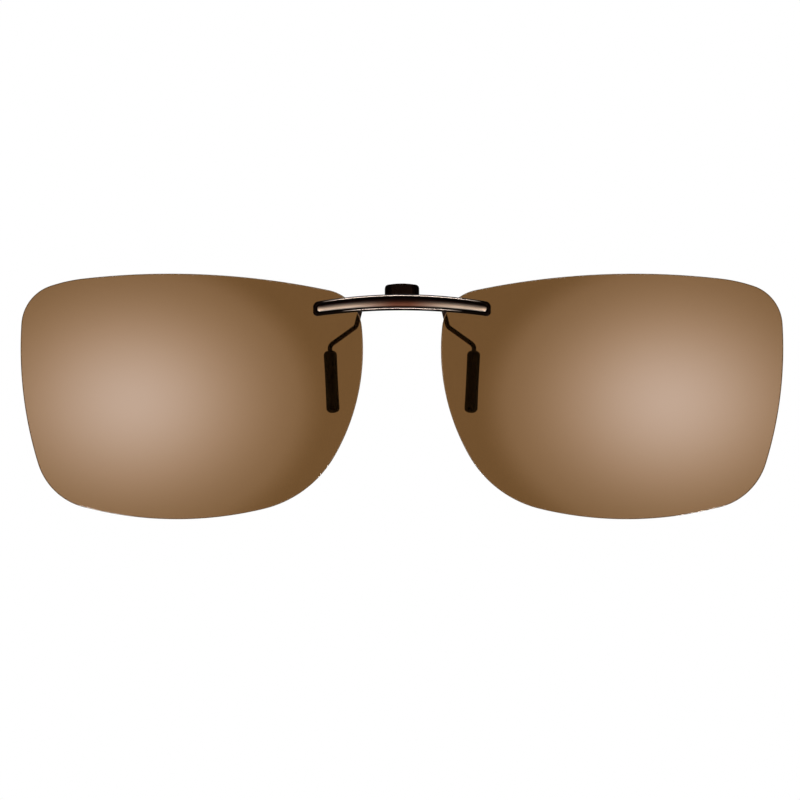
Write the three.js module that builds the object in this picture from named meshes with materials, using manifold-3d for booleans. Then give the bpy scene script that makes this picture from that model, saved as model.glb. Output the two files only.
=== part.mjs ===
// Clip-on sunglasses: two rimless tinted lenses on an arched metal bar, with a sprung clip behind it
// that grips a pair of spectacles from the back. Millimetres, +Z up. The front faces -Y and the wearer
// is at +Y. The origin is the middle of the bar's back face. Left and right are the wearer's, so the
// left lens is at +X.
import * as THREE from "three";
import { mergeVertices } from "three/addons/utils/BufferGeometryUtils.js";
import Module from "manifold-3d";

const wasm = await Module();
wasm.setup();

// ---------------------------------------------------------------- driving dimensions

const clearance = {
  seat: 0.02, // between two pieces that touch
  slip: 0.05, // round a pin or a shank, on the radius
  side: 0.1, // between the cheeks of the hinge
};

// A lens seen from the front. Its sides are bowed arcs: bow is how far each one stands out over the
// whole width or height of the lens.
const lens = {
  width: 62.8,
  height: 44.9,
  gap: 14.2, // from one lens to the other, over the nose
  topRise: 5.3, // from the middle of the bar up to the top of the lens
  thickness: 1.2,
  curveRadius: 250, // of the front surface
  wrapDeg: 8.9, // each lens is turned back by this much at its outer end
  bow: { top: 3.5, bottom: 7.7, outer: 3.6, inner: 7.1 },
  topApexOffset: 4.2, // highest point, outwards of the middle of the lens
  bottomApexOffset: 2.7,
  outerApexDepth: 13.5, // widest point, below the top of the lens
  innerApexDepth: 13.9,
  shoulderInset: 11.6, // where the top starts to fall, from the outer edge
  shoulderRadius: 30,
  corner: { innerTop: 7.6, outerTop: 7.8, outerBottom: 11.8, innerBottom: 20.5 },
};

const bar = {
  length: 32.4,
  height: 2.95, // in the middle
  thickness: 1.4,
  endThickness: 1.0, // the front falls back towards the ends
  topRadius: 92, // of the arched top edge
  bottomRadius: 116,
  topCornerRadius: 1.1,
  bottomCornerRadius: 0.75,
  bevel: 0.3,
};

// The seat of one lens: a pad in front of it, a gasket and a clamp plate behind it, and two screws.
const seat = {
  length: 5.9,
  height: 2.2,
  cornerRadius: 0.8,
  endInset: 0.25, // from the end of the bar
  screwPitch: 3.3,
  padMin: 0.25, // the pad and the gasket are wedges: this is where they are thinnest
  gasketMin: 0.25,
  plateThickness: 0.75,
};

const screw = {
  shankDiameter: 0.95,
  headDiameter: 1.7,
  headHeight: 0.4,
  slotWidth: 0.28,
  slotDepth: 0.18,
  reach: 0.5, // how far the shank goes into the back of the bar
};

const boss = {
  diameter: 1.5, // the threaded barrels on the back of the bar
  root: 0.25, // how far a barrel is let into the bar
  bushingWall: 0.22,
  bushingInset: 0.12, // the bushing stops short of both faces of the lens
};

const hinge = {
  pinDiameter: 1.0,
  pinHeadDiameter: 1.7,
  pinHeadHeight: 0.32,
  pinHeadEdge: 0.45, // share of the head's height that stands straight
  pinHeadFlat: 0.6, // share of the head's radius that is flat
  setback: 2.6, // from the back of the bar to the pin
  cheekRadius: 1.2, // the round ends of the hinge cheeks
};

const bracket = {
  sheet: 0.6,
  width: 7.9, // over its two cheeks
  height: 2.4,
};

const lever = {
  sheet: 0.6,
  cheekSheet: 0.5,
  backSetback: 1.6, // from the pin to the front of the lever's back plate
  tabWidth: 6.3,
  tabTop: 3.5, // above the pin
  tabCornerRadius: 0.9,
  tabCrown: 0.18, // how much the top edge arches
  creaseSpacing: 3.6, // between the two creases of the thumb tab
  wingSweepDeg: 30,
};

const spring = {
  wire: 0.3,
  coilRadius: 0.86, // to the middle of the wire
  turns: 5,
  endGap: 0.2, // between the coil and the lever's cheeks
  legHeight: 0.85, // where the fixed leg rests on the bracket, above the pin
  leverLegHeight: 1.45, // where the moving leg rests on the lever
};

// One arm of the clip, as the points where its wire is bent.
const arm = {
  wire: 0.85,
  bendRadius: 1.2,
  innerEnd: 0.6, // from the middle of the object
  brazeHeight: -0.55, // of the wire on the back of the lever
  rimRoom: 3.4, // from the clamp plate back to the wire, for a spectacle rim
  shoulder: { x: 7.5, z: -0.85 },
  elbow: { x: 8.37, z: -4.4 },
  kneeRise: 1.1, // from the mouth of the sleeve up to the last bend
};

const sleeve = {
  diameter: 2.4,
  length: 11.6,
  endRadius: 0.75,
  wireStop: 1.4, // rubber left past the end of the wire
  top: { x: 13.12, z: -8.9 },
  topAhead: 0.8, // of the wire's highest stretch
  footX: 12.55, // where its axis comes out at the bottom
  lensGap: 0.35, // from the lens to the sleeve's foot
};

// ---------------------------------------------------------------- facets

const round = {
  lathe: 20,
  small: 16,
  curve: 8,
  barCurve: 12,
  blank: 48,
  blankRings: 6,
  sleeveEnd: 4,
  armSteps: 56,
  armSides: 5, // on each half of the wire
  springSides: 3,
};
const past = 1; // how far a cutting tool runs past what it cuts
const blankMargin = 2; // of the round blank, past the corners of the lens

// ---------------------------------------------------------------- solids and shapes

// A three.js geometry as a manifold-3d solid, for cutting and joining.
function solidOf(geometry) {
  const bare = geometry.clone();
  for (const name of ["normal", "uv"]) bare.deleteAttribute(name);
  const merged = mergeVertices(bare, 1e-5);
  const mesh = new wasm.Mesh({
    numProp: 3,
    vertProperties: new Float32Array(merged.attributes.position.array),
    triVerts: new Uint32Array(merged.index.array),
  });
  return new wasm.Manifold(mesh);
}

function geometryOf(solid) {
  const mesh = solid.getMesh();
  const geometry = new THREE.BufferGeometry();
  const positions = new THREE.BufferAttribute(new Float32Array(mesh.vertProperties), 3);
  geometry.setAttribute("position", positions);
  geometry.setIndex(new THREE.BufferAttribute(new Uint32Array(mesh.triVerts), 1));
  const facets = geometry.toNonIndexed();
  facets.computeVertexNormals();
  return facets;
}

function cut(body, ...tools) {
  return tools.reduce((left, tool) => left.subtract(tool), body);
}

function join(first, ...others) {
  return others.reduce((whole, other) => whole.add(other), first);
}

// A flat shape drawn in X and Z, made thick from yFront back to yBack.
function slab(shape, yFront, yBack, options = {}) {
  const { bevel = 0, curveSegments = round.curve } = options;
  const geometry = new THREE.ExtrudeGeometry(shape, {
    depth: yBack - yFront - 2 * bevel,
    curveSegments,
    bevelEnabled: bevel > 0,
    bevelThickness: bevel,
    bevelSize: bevel,
    bevelOffset: -bevel,
    bevelSegments: 1,
  });
  geometry.rotateX(Math.PI / 2);
  geometry.translate(0, yBack - bevel, 0);
  return geometry;
}

// A flat shape drawn in Y and Z, made thick from x0 to x1.
function sideSlab(shape, x0, x1) {
  const geometry = new THREE.ExtrudeGeometry(shape, {
    depth: x1 - x0,
    curveSegments: round.curve,
    bevelEnabled: false,
  });
  const axes = new THREE.Matrix4().makeBasis(
    new THREE.Vector3(0, 1, 0),
    new THREE.Vector3(0, 0, 1),
    new THREE.Vector3(1, 0, 0),
  );
  geometry.applyMatrix4(axes);
  geometry.translate(x0, 0, 0);
  return geometry;
}

// A round rod along Y.
function rod(diameter, yFront, yBack, at) {
  const radius = diameter / 2;
  const geometry = new THREE.CylinderGeometry(radius, radius, yBack - yFront, round.small);
  geometry.translate(at.x, (yFront + yBack) / 2, at.z);
  return geometry;
}

function box(x0, x1, y0, y1, z0, z1) {
  const geometry = new THREE.BoxGeometry(x1 - x0, y1 - y0, z1 - z0);
  geometry.translate((x0 + x1) / 2, (y0 + y1) / 2, (z0 + z1) / 2);
  return geometry;
}

function roundedRectangle(length, height, radius) {
  const shape = new THREE.Shape();
  const x = length / 2 - radius;
  const z = height / 2 - radius;
  shape.absarc(x, z, radius, 0, Math.PI / 2);
  shape.absarc(-x, z, radius, Math.PI / 2, Math.PI);
  shape.absarc(-x, -z, radius, Math.PI, 1.5 * Math.PI);
  shape.absarc(x, -z, radius, 1.5 * Math.PI, 2 * Math.PI);
  return shape;
}

// A cheek of the hinge: a round end on the pin and a straight back to y1, with the pin's hole.
function cheekShape(y1, holeDiameter) {
  const shape = new THREE.Shape();
  const towards = Math.sign(y1 - hinge.setback);
  const start = (towards * Math.PI) / 2;
  shape.moveTo(y1, hinge.cheekRadius * towards);
  shape.absarc(hinge.setback, 0, hinge.cheekRadius, start, start + Math.PI);
  shape.lineTo(y1, -hinge.cheekRadius * towards);
  shape.closePath();
  const hole = new THREE.Path();
  hole.absarc(hinge.setback, 0, holeDiameter / 2, 0, 2 * Math.PI, true);
  shape.holes.push(hole);
  return shape;
}

// A wire or a tube along a curve.
function swept(path, diameter, steps, sides) {
  const section = new THREE.Shape();
  section.absarc(0, 0, diameter / 2, 0, 2 * Math.PI);
  return new THREE.ExtrudeGeometry(section, {
    steps,
    curveSegments: sides,
    extrudePath: path,
  });
}

// Straight runs between the points, with each corner rounded off by a bend.
function bentWire(points, bendRadius) {
  const path = new THREE.CurvePath();
  let from = points[0];
  for (let i = 1; i < points.length - 1; i++) {
    const corner = points[i];
    const back = new THREE.Vector3().subVectors(points[i - 1], corner).normalize();
    const on = new THREE.Vector3().subVectors(points[i + 1], corner).normalize();
    const turn = Math.PI - back.angleTo(on);
    const setOff = bendRadius * Math.tan(turn / 2);
    const start = corner.clone().addScaledVector(back, setOff);
    const end = corner.clone().addScaledVector(on, setOff);
    path.add(new THREE.LineCurve3(from, start));
    path.add(new THREE.QuadraticBezierCurve3(start, corner, end));
    from = end;
  }
  path.add(new THREE.LineCurve3(from, points.at(-1)));
  return path;
}

// ---------------------------------------------------------------- lenses

const lensMiddle = {
  x: lens.gap / 2 + lens.width / 2,
  z: lens.topRise - lens.height / 2,
};

function radiusFromBow(chord, bow) {
  return (chord * chord) / (8 * bow) + bow / 2;
}

// The circle of the given radius that touches two bigger circles from inside, on the side of near.
function cornerCircle(one, two, radius, near) {
  const between = new THREE.Vector2().subVectors(two.centre, one.centre);
  const distance = between.length();
  const toOne = one.radius - radius;
  const toTwo = two.radius - radius;
  const along = (distance ** 2 + toOne ** 2 - toTwo ** 2) / (2 * distance);
  const across = Math.sqrt(toOne ** 2 - along ** 2);
  const direction = between.clone().normalize();
  const normal = new THREE.Vector2(-direction.y, direction.x);
  const found = [1, -1].map((side) =>
    one.centre.clone().addScaledVector(direction, along).addScaledVector(normal, side * across),
  );
  found.sort((p, q) => p.distanceTo(near) - q.distanceTo(near));
  return { centre: found[0], radius };
}

// Where a circle touches a bigger one that holds it.
function touchAngle(inner, outer) {
  return Math.atan2(inner.centre.y - outer.centre.y, inner.centre.x - outer.centre.x);
}

// The left lens from the front, as nine arcs that run smoothly into each other, clockwise.
function lensShape() {
  const inner = lens.gap / 2;
  const outer = inner + lens.width;
  const top = lens.topRise;
  const bottom = top - lens.height;
  const bowed = (chord, bow, x, z, inwards) => {
    const radius = radiusFromBow(chord, bow);
    return { centre: new THREE.Vector2(x, z).addScaledVector(inwards, radius), radius };
  };
  const { x: middle } = lensMiddle;
  const down = new THREE.Vector2(0, -1);
  const right = new THREE.Vector2(1, 0);
  const topSide = bowed(lens.width, lens.bow.top, middle + lens.topApexOffset, top, down);
  const bottomSide = bowed(
    lens.width,
    lens.bow.bottom,
    middle + lens.bottomApexOffset,
    bottom,
    down.clone().negate(),
  );
  const innerSide = bowed(lens.height, lens.bow.inner, inner, top - lens.innerApexDepth, right);
  const outerSide = bowed(
    lens.height,
    lens.bow.outer,
    outer,
    top - lens.outerApexDepth,
    right.clone().negate(),
  );
  const fall = Math.asin((outer - lens.shoulderInset - topSide.centre.x) / topSide.radius);
  const towardsShoulder = new THREE.Vector2(Math.sin(fall), Math.cos(fall));
  const shoulder = {
    centre: topSide.centre
      .clone()
      .addScaledVector(towardsShoulder, topSide.radius - lens.shoulderRadius),
    radius: lens.shoulderRadius,
  };
  const at = (x, z) => new THREE.Vector2(x, z);
  const { corner } = lens;
  const innerTop = cornerCircle(innerSide, topSide, corner.innerTop, at(inner, top));
  const outerTop = cornerCircle(shoulder, outerSide, corner.outerTop, at(outer, top));
  const outerBottom = cornerCircle(outerSide, bottomSide, corner.outerBottom, at(outer, bottom));
  const innerBottom = cornerCircle(bottomSide, innerSide, corner.innerBottom, at(inner, bottom));
  const chain = [
    [innerTop, touchAngle(innerTop, innerSide), touchAngle(innerTop, topSide)],
    [topSide, touchAngle(innerTop, topSide), Math.PI / 2 - fall],
    [shoulder, Math.PI / 2 - fall, touchAngle(outerTop, shoulder)],
    [outerTop, touchAngle(outerTop, shoulder), touchAngle(outerTop, outerSide)],
    [outerSide, touchAngle(outerTop, outerSide), touchAngle(outerBottom, outerSide)],
    [outerBottom, touchAngle(outerBottom, outerSide), touchAngle(outerBottom, bottomSide)],
    [bottomSide, touchAngle(outerBottom, bottomSide), touchAngle(innerBottom, bottomSide)],
    [innerBottom, touchAngle(innerBottom, bottomSide), touchAngle(innerBottom, innerSide)],
    [innerSide, touchAngle(innerBottom, innerSide), touchAngle(innerTop, innerSide)],
  ];
  const shape = new THREE.Shape();
  for (const [circle, start, end] of chain)
    shape.absarc(circle.centre.x, circle.centre.y, circle.radius, start, end, true);
  return shape;
}

// The front surface of the left lens is a sphere. This is its centre, for a lens apex at y.
function sphereCentre(apexY) {
  const wrap = THREE.MathUtils.degToRad(lens.wrapDeg);
  return new THREE.Vector3(
    lensMiddle.x - lens.curveRadius * Math.sin(wrap),
    apexY + lens.curveRadius * Math.cos(wrap),
    lensMiddle.z,
  );
}

// Y of a sphere about the lens's centre of curvature, at x and z.
function surfaceY(apexY, radius, x, z) {
  const centre = sphereCentre(apexY);
  return centre.y - Math.sqrt(radius ** 2 - (x - centre.x) ** 2 - (z - centre.z) ** 2);
}

// ---------------------------------------------------------------- the seat of a lens on the bar

// Height of the middle of the bar at x.
function barMiddle(x) {
  const topDrop = bar.topRadius - Math.sqrt(bar.topRadius ** 2 - x ** 2);
  const bottomDrop = bar.bottomRadius - Math.sqrt(bar.bottomRadius ** 2 - x ** 2);
  return -(topDrop + bottomDrop) / 2;
}

const seatMiddleX = bar.length / 2 - seat.endInset - seat.length / 2;
const seatMiddle = new THREE.Vector2(seatMiddleX, barMiddle(seatMiddleX));
const seatSlope = Math.atan(
  (barMiddle(seatMiddleX + 1) - barMiddle(seatMiddleX - 1)) / 2,
);

// A point of the seat, from its middle along the bar and across it.
function onSeat(along, across) {
  return new THREE.Vector2(along, across).rotateAround(new THREE.Vector2(), seatSlope).add(seatMiddle);
}

const screwPlaces = [-0.5, 0.5].map((share) => {
  const place = onSeat(share * seat.screwPitch, 0);
  return { x: place.x, z: place.y };
});

function seatShape(grow = 0) {
  const flat = roundedRectangle(
    seat.length + 2 * grow,
    seat.height + 2 * grow,
    seat.cornerRadius + grow,
  );
  const points = flat.getPoints(round.curve / 2).map((p) => onSeat(p.x, p.y));
  return new THREE.Shape(points);
}

const seatCorners = [-1, 1].flatMap((a) =>
  [-1, 1].map((b) => onSeat((a * seat.length) / 2, (b * seat.height) / 2)),
);
const backRadius = lens.curveRadius - lens.thickness;
const lowestFront = Math.min(
  ...seatCorners.map((p) => surfaceY(0, lens.curveRadius, p.x, p.y)),
);
// The lens lies as far forward as the thinnest part of the pad allows.
const lensApexY = seat.padMin + 2 * clearance.seat - lowestFront;
const highestFront = Math.max(
  ...seatCorners.map((p) => surfaceY(lensApexY, lens.curveRadius, p.x, p.y)),
);
const highestBack = Math.max(
  ...seatCorners.map((p) => surfaceY(lensApexY, backRadius, p.x, p.y)),
);
const plateFront = highestBack + seat.gasketMin + 2 * clearance.seat;
const plateBack = plateFront + seat.plateThickness;

// A round dished blank with the lens's own curves, grown by the given gap on both faces.
function lensBlank(gap = 0) {
  const blankRadius = Math.hypot(lens.width, lens.height) / 2 + blankMargin;
  const arc = (radius) => {
    const points = [];
    for (let i = 0; i <= round.blankRings; i++) {
      const out = (blankRadius * i) / round.blankRings;
      points.push(new THREE.Vector2(out, lens.curveRadius - Math.sqrt(radius ** 2 - out ** 2)));
    }
    return points;
  };
  const front = arc(lens.curveRadius + gap);
  const back = arc(backRadius - gap);
  const blank = new THREE.LatheGeometry([...front, ...back.reverse()], round.blank);
  blank.rotateZ(THREE.MathUtils.degToRad(lens.wrapDeg));
  blank.translate(lensMiddle.x, lensApexY, lensMiddle.z);
  return blank;
}

const bushingOuter = boss.diameter + 2 * (clearance.seat + boss.bushingWall);
const lensHole = bushingOuter + 2 * clearance.seat;

function lensSolid() {
  const blank = solidOf(lensBlank());
  const outline = solidOf(slab(lensShape(), -lens.width, lens.width));
  const holes = screwPlaces.map((at) =>
    solidOf(rod(lensHole, -lens.width, lens.width, at)),
  );
  return cut(blank.intersect(outline), ...holes);
}

function padSolid() {
  const block = solidOf(slab(seatShape(), clearance.seat, highestFront));
  const holes = screwPlaces.map((at) =>
    solidOf(rod(boss.diameter + 2 * clearance.seat, -past, highestFront + past, at)),
  );
  return cut(block, solidOf(lensBlank(clearance.seat)), ...holes);
}

function gasketSolid() {
  const lensMiddleY = lensApexY + lens.thickness / 2 + lowestFront;
  const block = solidOf(slab(seatShape(), lensMiddleY, plateFront - clearance.seat));
  const holes = screwPlaces.map((at) =>
    solidOf(rod(screw.shankDiameter + 2 * clearance.slip, -past, plateFront + past, at)),
  );
  return cut(block, solidOf(lensBlank(clearance.seat)), ...holes);
}

const headSeat = plateBack - screw.headHeight - clearance.seat;

function clampPlateSolid() {
  const plate = solidOf(slab(seatShape(), plateFront, plateBack));
  const tools = screwPlaces.flatMap((at) => [
    solidOf(rod(screw.shankDiameter + 2 * clearance.slip, -past, plateBack + past, at)),
    solidOf(rod(screw.headDiameter + 2 * clearance.slip, headSeat, plateBack + past, at)),
  ]);
  return cut(plate, ...tools);
}

function bushingSolid(at) {
  const spread = lens.thickness / 2 - boss.bushingInset;
  const middle = (surfaceY(lensApexY, lens.curveRadius, at.x, at.z) +
    surfaceY(lensApexY, backRadius, at.x, at.z)) / 2;
  const outer = solidOf(rod(bushingOuter, middle - spread, middle + spread, at));
  const bore = rod(boss.diameter + 2 * clearance.seat, middle - 2 * spread, middle + 2 * spread, at);
  return cut(outer, solidOf(bore));
}

function screwSolid(at) {
  const shank = rod(screw.shankDiameter, -screw.reach, headSeat + screw.headHeight / 2, at);
  const head = rod(screw.headDiameter, headSeat + clearance.seat, plateBack, at);
  const slot = box(
    at.x - screw.headDiameter,
    at.x + screw.headDiameter,
    plateBack - screw.slotDepth,
    plateBack + past,
    at.z - screw.slotWidth / 2,
    at.z + screw.slotWidth / 2,
  );
  return cut(join(solidOf(shank), solidOf(head)), solidOf(slot));
}

// ---------------------------------------------------------------- bar

// The bar from the front: two long arcs and four rounded corners.
function barShape() {
  const half = bar.length / 2;
  const topR = bar.topCornerRadius;
  const bottomR = bar.bottomCornerRadius;
  const topCentre = new THREE.Vector2(0, bar.height / 2 - bar.topRadius);
  const bottomCentre = new THREE.Vector2(0, -bar.height / 2 - bar.bottomRadius);
  const cornerOn = (centre, x, reach) =>
    new THREE.Vector2(x, centre.y + Math.sqrt(reach ** 2 - x ** 2));
  const upper = cornerOn(topCentre, half - topR, bar.topRadius - topR);
  const lower = cornerOn(bottomCentre, half - bottomR, bar.bottomRadius + bottomR);
  const upperAngle = Math.atan2(upper.y - topCentre.y, upper.x);
  const lowerAngle = Math.atan2(lower.y - bottomCentre.y, lower.x);
  const shape = new THREE.Shape();
  shape.absarc(0, topCentre.y, bar.topRadius, Math.PI - upperAngle, upperAngle, true);
  shape.absarc(upper.x, upper.y, topR, upperAngle, 0, true);
  shape.absarc(lower.x, lower.y, bottomR, 0, lowerAngle - Math.PI, true);
  shape.absarc(0, bottomCentre.y, bar.bottomRadius, lowerAngle, Math.PI - lowerAngle, false);
  shape.absarc(-lower.x, lower.y, bottomR, -lowerAngle, -Math.PI, true);
  shape.absarc(-upper.x, upper.y, topR, Math.PI, Math.PI - upperAngle, true);
  return shape;
}

function barSolid() {
  const blade = slab(barShape(), -bar.thickness, 0, { bevel: bar.bevel, curveSegments: round.barCurve });
  const position = blade.getAttribute("position");
  const thinning = 1 - bar.endThickness / bar.thickness;
  for (let i = 0; i < position.count; i++) {
    const out = position.getX(i) / (bar.length / 2);
    position.setY(i, position.getY(i) * (1 - thinning * out * out));
  }
  const places = screwPlaces.flatMap((at) => [at, { x: -at.x, z: at.z }]);
  const bosses = places.map((at) => {
    const lensFront = surfaceY(lensApexY, lens.curveRadius, Math.abs(at.x), at.z);
    return solidOf(rod(boss.diameter, -boss.root, lensFront + lens.thickness / 2, at));
  });
  const bores = places.map((at) =>
    solidOf(rod(screw.shankDiameter + 2 * clearance.slip, -screw.reach - clearance.slip, plateBack, at)),
  );
  return cut(join(solidOf(blade), ...bosses), ...bores);
}

// ---------------------------------------------------------------- hinge, lever and spring

const cheekGap = bracket.width / 2 - bracket.sheet - clearance.side; // outside of the lever's cheeks
const leverBack = hinge.setback + lever.backSetback;

function bracketSolid() {
  const plate = box(
    -bracket.width / 2,
    bracket.width / 2,
    clearance.seat,
    bracket.sheet + clearance.seat,
    -bracket.height / 2,
    bracket.height / 2,
  );
  const shape = cheekShape(clearance.seat, hinge.pinDiameter + 2 * clearance.seat);
  const cheeks = [
    sideSlab(shape, bracket.width / 2 - bracket.sheet, bracket.width / 2),
    sideSlab(shape, -bracket.width / 2, bracket.sheet - bracket.width / 2),
  ];
  return join(solidOf(plate), ...cheeks.map(solidOf));
}

// A riveted pin, as a half profile turned about its own axis.
function pinGeometry() {
  const end = bracket.width / 2 + clearance.seat;
  const tip = end + hinge.pinHeadHeight;
  const shank = hinge.pinDiameter / 2;
  const head = hinge.pinHeadDiameter / 2;
  const half = [
    [shank, end],
    [head, end],
    [head, end + hinge.pinHeadHeight * hinge.pinHeadEdge],
    [head * hinge.pinHeadFlat, tip],
    [0, tip],
  ];
  const profile = [
    ...half.map(([r, along]) => new THREE.Vector2(r, -along)).reverse(),
    ...half.map(([r, along]) => new THREE.Vector2(r, along)),
  ];
  const pin = new THREE.LatheGeometry(profile, round.lathe);
  pin.rotateZ(-Math.PI / 2);
  return pin;
}

// The thumb tab from above: a flat middle and two wings swept back, drawn in X and Y.
function tabPlan() {
  const crease = lever.creaseSpacing / 2;
  const sweep = THREE.MathUtils.degToRad(lever.wingSweepDeg);
  const wing = (lever.tabWidth / 2 - crease) * Math.tan(sweep);
  const lap = lever.sheet * Math.tan(sweep / 2); // the crease's inside lies nearer the middle
  const front = [
    [lever.tabWidth / 2, leverBack + wing],
    [crease, leverBack],
    [-crease, leverBack],
    [-lever.tabWidth / 2, leverBack + wing],
  ];
  const thick = lever.sheet / Math.cos(sweep);
  const back = [
    [-lever.tabWidth / 2, leverBack + wing + thick],
    [-crease + lap, leverBack + lever.sheet],
    [crease - lap, leverBack + lever.sheet],
    [lever.tabWidth / 2, leverBack + wing + thick],
  ];
  return new THREE.Shape([...front, ...back].map(([x, y]) => new THREE.Vector2(x, y)));
}

// The thumb tab from the front: straight sides, round corners and a slightly arched top.
function tabFace(bottom) {
  const half = lever.tabWidth / 2;
  const r = lever.tabCornerRadius;
  const corner = lever.tabTop - lever.tabCrown;
  const shape = new THREE.Shape();
  shape.moveTo(-half, bottom);
  shape.lineTo(-half, corner - r);
  shape.quadraticCurveTo(-half, corner, -half + r, corner);
  shape.quadraticCurveTo(0, corner + 2 * lever.tabCrown, half - r, corner);
  shape.quadraticCurveTo(half, corner, half, corner - r);
  shape.lineTo(half, bottom);
  shape.closePath();
  return shape;
}

function leverSolid() {
  const bottom = hinge.cheekRadius - lever.sheet;
  const plan = new THREE.ExtrudeGeometry(tabPlan(), {
    depth: lever.tabTop - bottom,
    bevelEnabled: false,
  });
  plan.translate(0, 0, bottom);
  const face = slab(tabFace(bottom), 0, leverBack + lever.tabWidth);
  const tab = solidOf(plan).intersect(solidOf(face));
  const plate = box(
    -cheekGap,
    cheekGap,
    leverBack,
    leverBack + lever.sheet,
    -hinge.cheekRadius,
    hinge.cheekRadius,
  );
  const shape = cheekShape(leverBack + lever.sheet, hinge.pinDiameter + 2 * clearance.slip);
  const cheeks = [
    sideSlab(shape, cheekGap - lever.cheekSheet, cheekGap),
    sideSlab(shape, -cheekGap, lever.cheekSheet - cheekGap),
  ];
  return join(solidOf(plate), tab, ...cheeks.map(solidOf));
}

// A torsion spring on the pin: a leg from the bracket, a coil, and a leg to the lever.
class SpringPath extends THREE.Curve {
  constructor() {
    super();
    const reach = spring.wire / 2 + clearance.seat;
    const half = cheekGap - lever.cheekSheet - spring.endGap - spring.wire / 2;
    const onBracket = bracket.sheet + clearance.seat + reach - hinge.setback;
    const onLever = lever.backSetback - reach;
    const leg = (y, z, side) => {
      const angle = Math.atan2(z, y) + side * Math.acos(spring.coilRadius / Math.hypot(y, z));
      return { y, z, angle };
    };
    this.fixed = leg(onBracket, spring.legHeight, 1);
    this.moving = leg(onLever, spring.leverLegHeight, -1);
    const turn = 2 * Math.PI;
    const part = (((this.moving.angle - this.fixed.angle) % turn) + turn) % turn;
    this.winding = turn * spring.turns + part;
    this.half = half;
    const length = (l) => Math.sqrt(l.y ** 2 + l.z ** 2 - spring.coilRadius ** 2);
    const coil = Math.hypot(this.winding * spring.coilRadius, 2 * half);
    const total = length(this.fixed) + coil + length(this.moving);
    this.coilStart = length(this.fixed) / total;
    this.coilEnd = 1 - length(this.moving) / total;
  }

  onCoil(angle, x) {
    const y = hinge.setback + spring.coilRadius * Math.cos(angle);
    return new THREE.Vector3(x, y, spring.coilRadius * Math.sin(angle));
  }

  getPoint(t, target = new THREE.Vector3()) {
    const { fixed, moving, half } = this;
    const legEnd = (leg, x) => new THREE.Vector3(x, hinge.setback + leg.y, leg.z);
    if (t < this.coilStart)
      return target.lerpVectors(
        legEnd(fixed, -half),
        this.onCoil(fixed.angle, -half),
        t / this.coilStart,
      );
    if (t > this.coilEnd)
      return target.lerpVectors(
        this.onCoil(moving.angle, half),
        legEnd(moving, half),
        (t - this.coilEnd) / (1 - this.coilEnd),
      );
    const share = (t - this.coilStart) / (this.coilEnd - this.coilStart);
    const place = this.onCoil(fixed.angle + this.winding * share, half * (2 * share - 1));
    return target.copy(place);
  }
}

// ---------------------------------------------------------------- arms and sleeves

const armSetback = plateBack + arm.rimRoom + arm.wire / 2;
const sleeveTop = new THREE.Vector3(sleeve.top.x, armSetback - sleeve.topAhead, sleeve.top.z);

// The sleeves lean forward until their feet all but touch the lenses.
function sleeveDirection() {
  const lensBack = surfaceY(lensApexY, backRadius, sleeve.footX, sleeve.top.z - sleeve.length);
  const footY = lensBack + sleeve.lensGap + sleeve.diameter / 2;
  const across = new THREE.Vector3(sleeve.footX - sleeve.top.x, footY - sleeveTop.y, 0);
  const fall = Math.sqrt(sleeve.length ** 2 - across.lengthSq());
  return across.setZ(-fall).normalize();
}
const sleeveAxis = sleeveDirection();

function armPath() {
  const behindLever = leverBack + lever.sheet + arm.wire / 2 + clearance.seat;
  const run = armSetback - behindLever; // how far the wire steps back on its way out
  const points = [
    new THREE.Vector3(arm.innerEnd, behindLever, arm.brazeHeight),
    new THREE.Vector3(arm.shoulder.x - 2 * run - arm.bendRadius, behindLever, arm.brazeHeight),
    new THREE.Vector3(arm.shoulder.x, armSetback, arm.shoulder.z),
    new THREE.Vector3(arm.elbow.x, armSetback, arm.elbow.z),
    sleeveTop.clone().addScaledVector(sleeveAxis, -arm.kneeRise),
    sleeveTop.clone().addScaledVector(sleeveAxis, sleeve.length - sleeve.wireStop),
  ];
  return bentWire(points, arm.bendRadius);
}

// A soft sleeve with a blind bore, as a half profile. It hangs along -Y of its own frame.
function sleeveGeometry() {
  const outer = sleeve.diameter / 2;
  const bore = arm.wire / 2 + clearance.seat;
  const depth = sleeve.length - sleeve.wireStop + clearance.slip;
  const steps = round.sleeveEnd;
  const rounded = (y, start) => {
    const points = [];
    for (let i = 0; i <= steps; i++) {
      const angle = start + (i / steps) * (Math.PI / 2);
      const out = outer - sleeve.endRadius + sleeve.endRadius * Math.cos(angle);
      points.push(new THREE.Vector2(out, y + sleeve.endRadius * Math.sin(angle)));
    }
    return points;
  };
  const lip = Math.max(bore + clearance.slip, outer - sleeve.endRadius);
  const profile = [
    new THREE.Vector2(0, -sleeve.length),
    ...rounded(sleeve.endRadius - sleeve.length, -Math.PI / 2),
    ...rounded(-sleeve.endRadius, 0).filter((p) => p.x > lip),
    new THREE.Vector2(lip, 0),
    new THREE.Vector2(bore, 0),
    new THREE.Vector2(bore, -depth),
    new THREE.Vector2(0, -depth),
  ];
  return new THREE.LatheGeometry(profile, round.lathe);
}

// ---------------------------------------------------------------- finishes and assembly

function finish(color, roughness, metalness, more = {}) {
  return new THREE.MeshStandardMaterial({ color, roughness, metalness, ...more });
}

const finishes = {
  lens: finish("#6a4b2c", 0.08, 0, { transparent: true, opacity: 0.8 }),
  bar: finish("#7a5e50", 0.35, 1),
  hardware: finish("#1c1412", 0.3, 1),
  steel: finish("#8d8780", 0.35, 1),
  rubber: finish("#0a0a0b", 0.6, 0),
  silicone: finish("#d8d4cc", 0.5, 0),
};

const model = new THREE.Group();

function addPiece(parent, name, geometry, material) {
  const mesh = new THREE.Mesh(geometry, material);
  mesh.name = name;
  parent.add(mesh);
  return mesh;
}

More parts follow.
